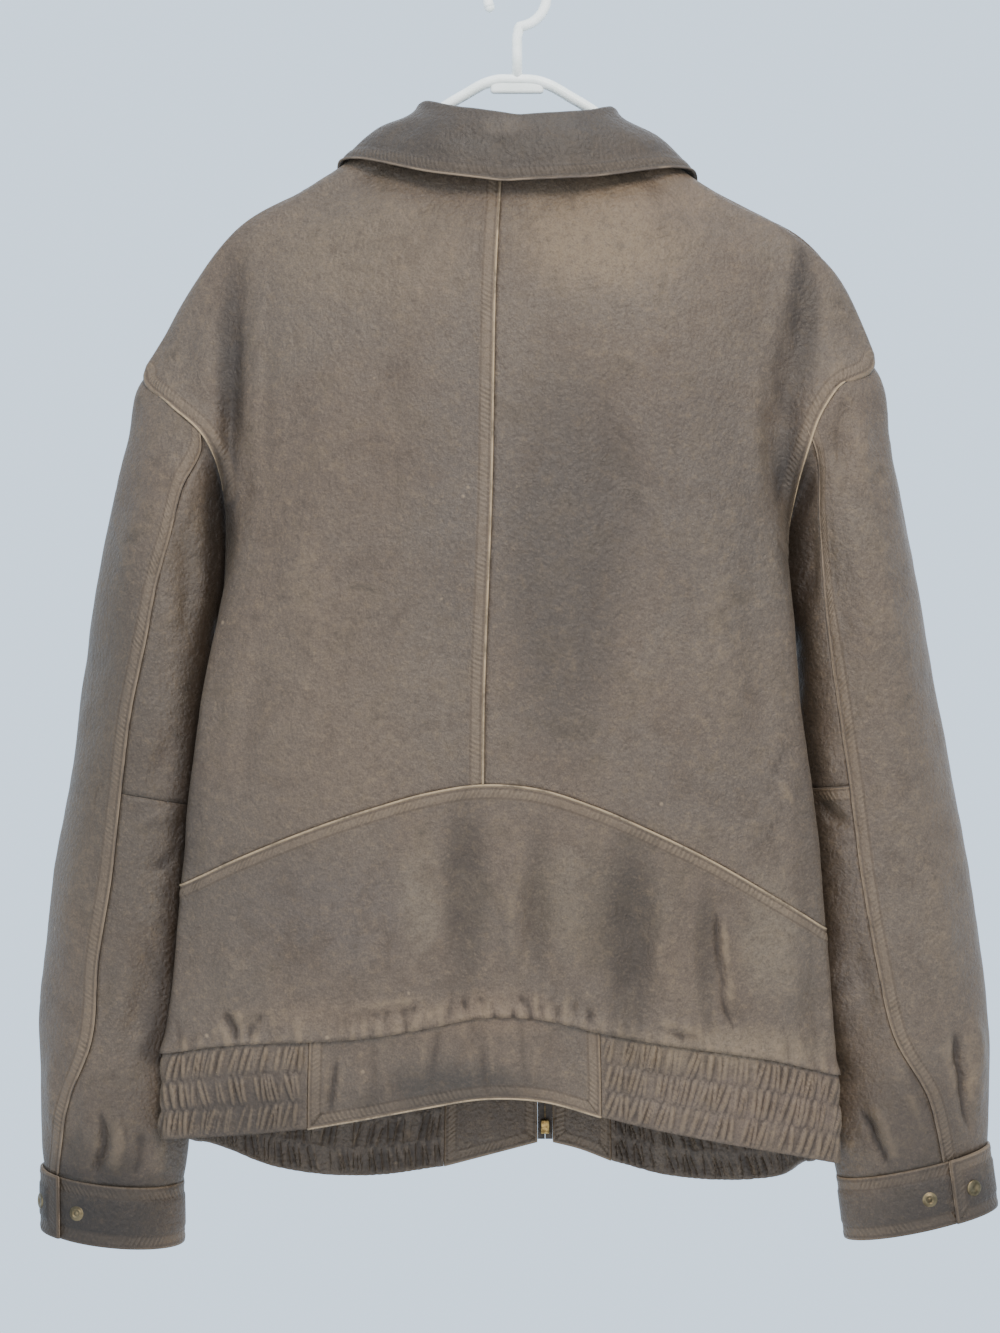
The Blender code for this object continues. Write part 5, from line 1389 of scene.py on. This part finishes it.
# Polypropylene: moulded, with a smooth satin skin and faint scuffs
plastic = plainMaterial("polypropylene", "#e9efe9", (
    (14, 0.35, 0.65, 1, "#f4f7f3"), (1.2, 0.62, 0.8, 0.2, "#d3d8d4")), 0.36, ior=1.49)
plastic.node_tree.nodes["Principled BSDF"].inputs["Subsurface Weight"].default_value = 0.12
plastic.node_tree.nodes["Principled BSDF"].inputs["Subsurface Radius"].default_value = (0.004, 0.004, 0.004)
# Polyester zip tape: a matt dark herringbone, fuzzed with wear
zipWeave = plainMaterial("polyesterZipTape", "#2b2520", (
    (3.1, 0.35, 0.65, 1, "#40372f"), (0.9, 0.4, 0.7, 0.4, "#544a40")), 0.85, ior=1.5, bump=0.3)
print("materials made")


# The walls themselves

def pieceFrom(name, mesh, materials, body, nodes=()):
    for item in materials:
        mesh.materials.append(item)
    made = bpy.data.objects.new(name, mesh)
    bpy.context.scene.collection.objects.link(made)
    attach(made, body)
    if nodes:
        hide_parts(*nodes)
    return made


# A sheet of faces through the points, looking outwards in its middle
def sheetFrom(points, outward):
    rows, columns = points.shape[:2]
    bm = bmesh.new()
    bmesh.ops.create_grid(bm, x_segments=columns - 1, y_segments=rows - 1, size=1)
    for vert, place in zip(bm.verts, points.reshape(-1, 3) * mm):
        vert.co = place
    bm.verts.index_update()
    bm.faces.ensure_lookup_table()
    bm.normal_update()
    middle = bm.faces[rows // 2 * (columns - 1) + columns // 2]
    if middle.normal.dot(Vector(outward)) < 0:
        bmesh.ops.reverse_faces(bm, faces=bm.faces)
    return bm


drape = {
    "shy": 0.1, "offset": -0.4,  # how much thinner than its wall the leather is, and on which side
    # the seam allowance's length and depth under the edge above
    "lips": {"sleeve_over": (9.0, 2.6), "sleeve_under_upper": (9.0, 2.6), "waist": (5.0, 1.2)},
    "free": 14, "bandFree": 4, "held": 0.35,  # how far from a seam a wall is free, and what folds keep at it
    "facing": 0.35,  # folds show in full where the wall faces straight on by this much
    "farAway": 60.0, "fall": 0.85,  # where the collar's fall is, down its grid
}
lowerBack = {"overhang": 2.6, "overhangReach": 9.0, "reach": 34, "soft": 30, "pitch": 6.5, "length": 26,
             "pucker": 2.0, "smoothed": 0.6, "fuller": 0.8, "fullerX": -8, "fullerReach": 60,
             "puckerWearShade": 1.8, "rollLight": 3.0}
# wear on proud places and painted shade in hollows: neighbour steps and shares, strengths, and the painted
# shade and light of broad folds, with its cap
wearShading = {"steps": ((2, 0.9),
           (4, 0.4)), "strength": 0.46, "waistStrength": 0.7, "broad": 0.05, "mostBroad": 0.22,
           "crease": 0.6}


def thicken(piece, wall):
    solid = piece.modifiers.new("wall", "SOLIDIFY")
    solid.thickness = (wall - drape["shy"]) * mm
    solid.offset = drape["offset"]
    return solid


# The wall's points and outward directions, made finer, and whether those had to be turned round
def fineWall(name):
    grid, _, outward = grids[name]
    (across, down), sides = cloth[name][:2]
    turned = grid.transpose(1, 0, 2)
    points = hermite(turned, partsOf(turned, across, "start" in sides, "end" in sides or "armhole" in sides))
    points = hermite(points.transpose(1, 0, 2), partsOf(grid, down, "top" in sides, "foot" in sides))
    normal = normalsOf(points)
    rows, columns = points.shape[:2]
    flip = float(normal[rows // 2, columns // 2] @ np.array(outward, float)) < 0
    if name == "collar":
        flip = normal[int(rows * drape["fall"]), columns // 2][1] > 0
    return points, -normal if flip else normal, flip


# The leather's uneven height over its plain form, and its broad part, which gives painted shade in broad
# valleys and painted light on broad ridges
def reliefOf(name, seed, points, normal, free, border):
    toward = normal[..., 1] if name.startswith("front") else -normal[..., 1]
    height, broad = np.zeros(points.shape[:2]), np.zeros(points.shape[:2])
    kind, side = name.split("_")[0], name.split("_")[-1]
    table = folds.get(kind + side.title() if kind == "sleeve" else kind)
    if table:
        folded, creases = foldHeight(table, points, smoothStep(toward, 0.0, drape["facing"]))
        kept = drape["held"] + (1 - drape["held"]) * free
        height += folded * kept
        broad = (folded - creases * wearShading["crease"]) * kept
    if kind == "waist":
        height += bandHeight(name, points, seed) * smoothStep(border, 0, drape["bandFree"])
    wave, crease, kept = kindOf(unevenLeather["kinds"], name)
    height += unevenness(points, wave, crease) * (kept + (1 - kept) * free)
    return height, broad


# The lower back hangs over the band a little, and is gathered into it: its roll and its puckers
def gatheredFoot(points, low):
    b = lowerBack
    roll = np.exp(-((low / b["overhangReach"]) ** 2))
    puckers = np.array([[noise.noise(Vector((p[0] / b["pitch"], 0, low[i, j] / b["length"])))
                         for j, p in enumerate(line)] for i, line in enumerate(points)])
    fuller = 1 + b["fuller"] * np.exp(-(((points[..., 0] - b["fullerX"]) / b["fullerReach"]) ** 2))
    return roll, fuller * puckers * smoothStep(b["reach"] - low, 0, b["soft"])


# Wear and painted shade at each point: more, rubbed paler, where it stands proud of its surroundings at about
# 8 mm; less, painted darker as shade, in hollows; broad folds add painted shade and light
def wearShadeOf(name, shape, broad):
    wearShade = np.zeros(shape.shape)
    for step, share in wearShading["steps"]:
        pad = np.pad(shape, step, mode="edge")
        around = (pad[2 * step:, step:-step] + pad[:-2 * step, step:-step]
                  + pad[step:-step, 2 * step:] + pad[step:-step, :-2 * step]) / 4
        wearShade += (shape - around) * share
    strength = wearShading["waistStrength" if name.startswith("waist") else "strength"]
    most = wearShading["mostBroad"]
    return np.clip(0.5 + wearShade * strength + np.clip(wearShading["broad"] * broad, -most, most), 0, 1)


surfaces = {}


def makeCloth(name, seed):
    points, normal, flip = fineWall(name)
    lip, under = kindOf(drape["lips"], name, (0.0, 0.0))
    if lip:  # the seam allowance goes on under the edge above
        back = points[0] - points[1]
        back /= np.linalg.norm(back, axis=-1, keepdims=True)
        points = np.concatenate([(points[0] + back * lip - normal[0] * under)[None], points])
        normal = np.concatenate([normal[:1], normal])
    rows, columns = points.shape[:2]
    fields = sideFields(name, points)
    away, run = np.full((rows, columns), drape["farAway"]), np.zeros((rows, columns))
    for distance, place in fields.values():
        closer = distance < away
        away, run = np.where(closer, distance, away), np.where(closer, place, run)
    # how free the wall is to move, so that neighbours still meet along a seam
    across, down = reachAlong(points.transpose(1, 0, 2)).T, reachAlong(points)
    border = np.minimum(np.minimum(across, across[:, -1:] - across),
                        np.minimum(np.maximum(down - lip, 0), down[-1:] - down))
    height, broad = reliefOf(name, seed, points, normal, smoothStep(border, 0, drape["free"]), border)
    shape = height - broad
    if name == "back_lower":
        roll, puckers = gatheredFoot(points, down[-1:] - down)
        height += lowerBack["overhang"] * roll
        height += lowerBack["pucker"] * puckers * (1 - lowerBack["smoothed"] * roll)
        # the puckers' crests rub paler and their hollows get painted shade; the roll over the band is painted
        # lighter, as painted light
        shape += lowerBack["puckerWearShade"] * puckers
        broad = broad + lowerBack["rollLight"] * roll
    if fields:
        lift = topstitch["waistLift" if name.startswith("waist") else "lift"]
        height += lift * smoothStep(topstitch["reach"] - away, *topstitch["soft"])
        for inset in rowsOf(name):
            height -= topstitch["groove"] * np.exp(-(((away - inset) / topstitch["grooveWidth"]) ** 2))
    moved = points + normal * height[..., None]
    outwards = normalsOf(moved) * (-1 if flip else 1)
    bm = sheetFrom(moved, outwards[rows // 2, columns // 2])
    # wear on proud places and painted shade in hollows, which the leather's colour reads
    wearShadeLayer = bm.verts.layers.float.new("wearShade")
    for vert, value in zip(bm.verts, wearShadeOf(name, shape, broad).ravel()):
        vert[wearShadeLayer] = value
    uv = bm.loops.layers.uv.new("seam")
    runs, aways = run.ravel() * mm, away.ravel() * mm
    for face in bm.faces:
        for corner in face.loops:
            corner[uv].uv = (runs[corner.vert.index], aways[corner.vert.index])
    tree = BVHTree.FromBMesh(bm)
    outer = nubuckCollar if name == "collar" else nubuck
    inner = outer if name.startswith(("collar", "cuff", "waist")) else lining
    piece = pieceFrom(name + "_leather", meshFrom(name + "_leather", bm), (outer, inner), "jacket",
                      [name])
    surfaces[name] = {"points": moved, "normal": outwards, "down": down, "fields": fields, "piece": piece,
                      "tree": tree}
    solid = thicken(piece, grids[name][1])
    solid.use_even_offset = False
    solid.material_offset = 1
    solid.material_offset_rim = 0


for number, name in enumerate(cloth):
    makeCloth(name, 11 + number)
print("walls made:", len(surfaces))

# reach, heights, strengths and fall-off of the painted shade between sleeve and body
gapShade = {"reach": 26.0, "from": (-350, -392), "trunk": 1.0, "arm": 1.25, "fade": 1.6}


# Painted shade where sleeve and body lie against each other, below the armhole: it lowers the wear value
# there, which darkens the colour
def paintGapShade(name, others, share):
    mesh = surfaces[name]["piece"].data
    wearShadeLayer = mesh.attributes["wearShade"].data
    high, low = gapShade["from"]
    for k, vert in enumerate(mesh.vertices):
        below = min(max((high - vert.co.z / mm) / (high - low), 0), 1)
        if below:
            near = min(surfaces[other]["tree"].find_nearest(vert.co)[3] for other in others) / mm
            wearShadeLayer[k].value -= share * below * max(0.0, 1 - near / gapShade["reach"]) ** gapShade["fade"]


# painted shade on trunk and arm where they meet
for word in ("left", "right"):
    arm = [f"sleeve_{part}_{word}" for part in ("over", "under_upper", "under_lower")]
    trunk = [f"back_{word}", f"front_{word}", "back_lower"]
    for name in trunk:
        paintGapShade(name, arm, gapShade["trunk"])
    for name in arm:
        paintGapShade(name, trunk, gapShade["arm"])
print("grime settled")


# Turned seam edges and stitches

seamEdge = {"out": 0.1, "pitch": 3.0,
            "radii": {"sleeve": 0.55, "cuff": 0.6, "collar": 0.8, "waist": 0.75, "": 0.85}}
stitch = {
    "pitch": 3.7, "half": (1.45, 0.31, 0.42),  # half its length and width, and its height
    "sunk": 0.05, "ahead": 1.4, "pastArmhole": 0.8,  # no stitches where the armhole's row is further off
}


# A closed tube along a line, made from a curve
def tubeMesh(name, line, radius, resolution=2):
    curve = bpy.data.curves.new(name, "CURVE")
    curve.dimensions = "3D"
    curve.bevel_depth = radius * mm
    curve.bevel_resolution = resolution
    curve.use_fill_caps = True
    path = curve.splines.new("POLY")
    path.points.add(len(line) - 1)
    for point, place in zip(path.points, line):
        point.co = (*(Vector(place) * mm), 1.0)
    holder = bpy.data.objects.new(name, curve)
    bpy.context.scene.collection.objects.link(holder)
    bpy.context.view_layer.update()
    raw = bpy.data.meshes.new_from_object(holder.evaluated_get(bpy.context.evaluated_depsgraph_get()))
    bpy.data.objects.remove(holder)
    bm = bmesh.new()
    bm.from_mesh(raw)
    bpy.data.meshes.remove(raw)
    bmesh.ops.remove_doubles(bm, verts=bm.verts, dist=1e-6)
    bmesh.ops.recalc_face_normals(bm, faces=bm.faces)
    return meshFrom(name, bm)


def joinMeshes(name, meshes):
    bm = bmesh.new()
    for mesh in meshes:
        bm.from_mesh(mesh)
        bpy.data.meshes.remove(mesh)
    return meshFrom(name, bm)


# The line at a distance from one side of a wall, with its outward directions
def rowLine(name, side, distance):
    made = surfaces[name]
    points, normal, field = made["points"], made["normal"], made["fields"][side][0]
    if side in ("top", "foot"):
        points, normal, field = points.transpose(1, 0, 2), normal.transpose(1, 0, 2), field.T
    if side in ("end", "foot", "armhole"):  # counted back from the last point
        points, normal, field = points[:, ::-1], normal[:, ::-1], field[:, ::-1]
    line, out = [], []
    for p, n, f in zip(points, normal, field):
        if side == "armhole" and f.min() > distance + stitch["pastArmhole"]:
            continue
        b = min(max(int(np.searchsorted(f, distance)), 1), len(f) - 1)
        t = min(max(float((distance - f[b - 1]) / (f[b] - f[b - 1] + 1e-9)), 0.0), 1.0)
        line.append(p[b - 1] * (1 - t) + p[b] * t)
        out.append(n[b - 1] * (1 - t) + n[b] * t)
    return np.array(line), np.array(out)


def stitchRow(bm, line, out):
    reach = np.concatenate([[0], np.cumsum(np.linalg.norm(np.diff(line, axis=0), axis=1))])
    total = reach[-1]
    at = stitch["pitch"] / 2
    while at < total - stitch["pitch"] / 2:
        place = Vector([np.interp(at, reach, line[:, k]) for k in range(3)])
        ahead = Vector([np.interp(min(at + stitch["ahead"], total), reach, line[:, k]) for k in range(3)])
        upward = Vector([np.interp(at, reach, out[:, k]) for k in range(3)]).normalized()
        forward = (ahead - place).normalized()
        sideways = upward.cross(forward).normalized()
        upward = forward.cross(sideways)
        turn = Matrix((forward, sideways, upward)).transposed().to_4x4()
        size = Matrix.Diagonal((*(Vector(stitch["half"]) * mm), 1))
        move = Matrix.Translation((place - upward * stitch["sunk"]) * mm)
        bmesh.ops.create_icosphere(bm, subdivisions=1, radius=1.0, matrix=move @ turn @ size)
        at += stitch["pitch"]


for name in cloth:
    bm = bmesh.new()
    for side in sidesOf(name):
        for inset in rowsOf(name):
            stitchRow(bm, *rowLine(name, side, inset))
    if "elastic" in name:  # the rows that hold the elastic
        made = surfaces[name]
        share = made["down"][:, 0] / made["down"][-1, 0]
        for k in range(1, gathers["channels"]):
            at = int(np.argmin(abs(share - k / gathers["channels"])))
            stitchRow(bm, made["points"][at], made["normal"][at])
    if bm.verts:
        mesh = meshFrom(name + "_stitches", bm)
        pieceFrom(name + "_stitches", mesh, (thread,), "jacket")
    else:
        bm.free()

for name in cloth:
    meshes = []
    for side in sidesOf(name):
        if name.startswith("waist") and side != "foot":
            continue
        line, out = rowLine(name, side, 0.0)
        out = out / np.linalg.norm(out, axis=1, keepdims=True)
        line = evenly(line + out * seamEdge["out"], seamEdge["pitch"])
        meshes.append(tubeMesh(name + side, line, kindOf(seamEdge["radii"], name)))
    if meshes:
        rubbed = dullEdge if name.startswith(("sleeve", "cuff", "collar")) else turnedEdge
        pieceFrom(name + "_turned_edge", joinMeshes(name + "_turned_edge", meshes), (rubbed,),
                                "jacket")


# Snaps: a domed cap with a rolled rim on one side of each cuff, a stud with a post on the other

snap = {  # profiles as radius and height
    "cap": ((0.0, 0.75), (1.7, 0.8), (2.3, 1.25), (3.9, 1.6), (5.2, 1.5), (5.9, 1.05), (6.2, 0.45),
            (5.9, 0.0), (0.0, 0.0)),
    "stud": ((0.0, 1.35), (1.0, 1.3), (1.3, 0.9), (2.3, 0.75), (2.7, 1.5), (3.5, 1.6), (3.9, 0.9),
             (4.9, 0.75), (5.6, 0.5), (5.8, 0.2), (5.5, 0.0), (0.0, 0.0)),
    "turns": 40,
}


def spunMesh(name, profile, place, out):
    bm = bmesh.new()
    ring = [bm.verts.new((r * mm, 0, z * mm)) for r, z in profile]
    joins = [bm.edges.new(pair) for pair in zip(ring, ring[1:])]
    bmesh.ops.spin(bm, geom=ring + joins, cent=(0, 0, 0), axis=(0, 0, 1), dvec=(0, 0, 0),
                   angle=2 * math.pi, steps=snap["turns"], use_merge=True, use_normal_flip=False,
                   use_duplicate=False)
    bmesh.ops.remove_doubles(bm, verts=bm.verts, dist=1e-6)
    bmesh.ops.recalc_face_normals(bm, faces=bm.faces)
    bmesh.ops.transform(bm, verts=bm.verts, matrix=Matrix.Translation(Vector(place) * mm)
                        @ Vector(out).to_track_quat("Z", "Y").to_matrix().to_4x4())
    return meshFrom(name, bm)


snapPieces = {}
for name, (place, out) in snapSeats.items():
    kind = "cap" if "cap" in name else "stud"
    foot = np.array(place) - np.array(out) * (capH if kind == "cap" else studH) / 2
    piece = pieceFrom(name + "_brass", spunMesh(name, snap[kind], foot, out),
    (brass,), "jacket", [name])
    snapPieces.setdefault("cuff_" + name.split("_")[-1], []).append(piece)
print("snaps made")


# Hanger: a smooth bent tube, with a hook of the same and a moulded web

hanger = {"sides": 6, "step": 4.0, "webRound": 2.6, "shy": 0.05, "bend": 49, "smooth": (2, 6)}


def boxMesh(name, centre, size, soft, segments=3):
    bm = bmesh.new()
    bmesh.ops.create_cube(bm, size=1, matrix=Matrix.Translation(Vector(centre) * mm)
                          @ Matrix.Diagonal((*(Vector(size) * mm), 1)))
    bmesh.ops.bevel(bm, geom=bm.edges[:], offset=soft * mm, affect="EDGES", segments=segments, profile=0.5,
                    material=-1)
    return meshFrom(name, bm)


def makeHanger():
    coarse, fine = hanger["smooth"]
    leftArm, rightArm = ([(p[0], 0, p[1]) for p in spline(hangerArms[side], coarse)] for side in (-1, 1))
    arms = np.array(leftArm[::-1] + rightArm, float)
    arms = evenly(hermite(arms, [fine] * (len(arms) - 1)), hanger["step"])
    bar = tubeMesh("bar", arms, tubeR - hanger["shy"], hanger["sides"])
    top = -hookR + hookTubeR
    turns = np.radians(np.linspace(hookStart, -90, hanger["bend"]))
    bend = [(hookR * math.cos(a), 0, top + hookR * math.sin(a)) for a in turns]
    bend = bend[:-1] + [(hookNeck[0], 0, top - hookR - hookNeck[1])]
    bend += [(0, 0, z) for z in (top - hookR - stemDrops[0], stemDrops[1], stemDrops[2])]
    hook = tubeMesh("hook", bend, hookTubeR - hanger["shy"], hanger["sides"])
    web = boxMesh("web", (0, 0, webZ), webSize, hanger["webRound"], 5)
    tip = bmesh.new()
    bmesh.ops.create_uvsphere(tip, u_segments=24, v_segments=12, radius=(hookTubeR - hanger["shy"]) * mm,
                              matrix=Matrix.Translation(Vector(bend[0]) * mm))
    pieceFrom("hanger_plastic", joinMeshes("hanger_plastic", [bar, hook, web, meshFrom("tip", tip)]),
              (plastic,),
              "jacket", ["hanger"])


makeHanger()
print("hanger made")


# Zip: teeth down both tapes, slider, pull and box

tooth = {"pitch": 3.1, "size": (3.0, 1.9, 1.7), "soft": 0.35, "beside": 0.9, "proud": 0.35, "ends": (14, 12)}
zipSoft = {"slider": (1.2, 4), "cheek": (0.45, 3), "box": (1.1, 4), "eye": (0.6, 4), "leaf": (0.7, 4)}
tapeFaces = {"across": 4, "down": 6.0}


def makeTeeth():
    bm = bmesh.new()
    z, k = zipFoot + tooth["ends"][0], 0
    while z < neckFront - tooth["ends"][1]:
        openBy = max(0.0, (z - zipTop) / zipOpening[0]) * zipOpening[1]
        side = 1 if k % 2 else -1
        place = zipPoint(z, zipWall / 2 + tooth["proud"])
        place = place + np.array([side * (openBy + tooth["beside"]), 0, 0])
        bmesh.ops.create_cube(bm, size=1, matrix=Matrix.Translation(Vector(place) * mm)
                              @ Matrix.Diagonal((*(Vector(tooth["size"]) * mm), 1)))
        z += tooth["pitch"] / 2
        k += 1
    bmesh.ops.bevel(bm, geom=bm.edges[:], offset=tooth["soft"] * mm, affect="EDGES", segments=1, profile=0.5,
                    material=-1)
    pieceFrom("zip_teeth", meshFrom("zip_teeth", bm, smooth=False), (zipBrass,), "jacket")
    return k


def zipPart(name, parts, body="jacket"):
    meshes = [boxMesh(kind, place, size, *zipSoft[kind]) for kind, place, size in parts]
    pieceFrom(name + "_brass", joinMeshes(name + "_brass", meshes), (zipBrass,), body, [name])


def makeTape(name):
    grid, wall, outward = grids[name]
    points = hermite(grid.transpose(1, 0, 2), [tapeFaces["across"]] * (grid.shape[1] - 1)).transpose(1, 0, 2)
    points = hermite(points, partsOf(grid, tapeFaces["down"]))
    piece = pieceFrom(name + "_weave", meshFrom(name + "_weave", sheetFrom(points, outward)),
                      (zipWeave,), "jacket",
                      [name])
    thicken(piece, wall)


teeth = makeTeeth()
face = zipPoint(zipTop, zipWall / 2 + zipClear)
pin = face + np.array([0, sliderSize[1] + pinOut, pinUp])
zipPart("zip_slider", [("slider", face + np.array([0, sliderSize[1] / 2, 0]), sliderSize)] + [
    ("cheek", pin + np.array([x, -cheekBack, 0]), cheekSize) for x in (-cheekX, cheekX)])
zipPart("zip_box", [("box", zipPoint(zipBoxZ, -(zipWall / 2 + zipBoxGap) - zipBox[1] / 2), zipBox)])
zipPart("zip_pull", [("eye", pin - np.array([0, 0, pullEyeDrop]), pullEye),
                     ("leaf", pin - np.array([0, 0, pullLeafDrop]), pullLeaf)], "pull")
makeTape("zip_tape_left")
makeTape("zip_tape_right")
print("zip made:", teeth, "teeth")


print("sheets stated:", len(cloth))
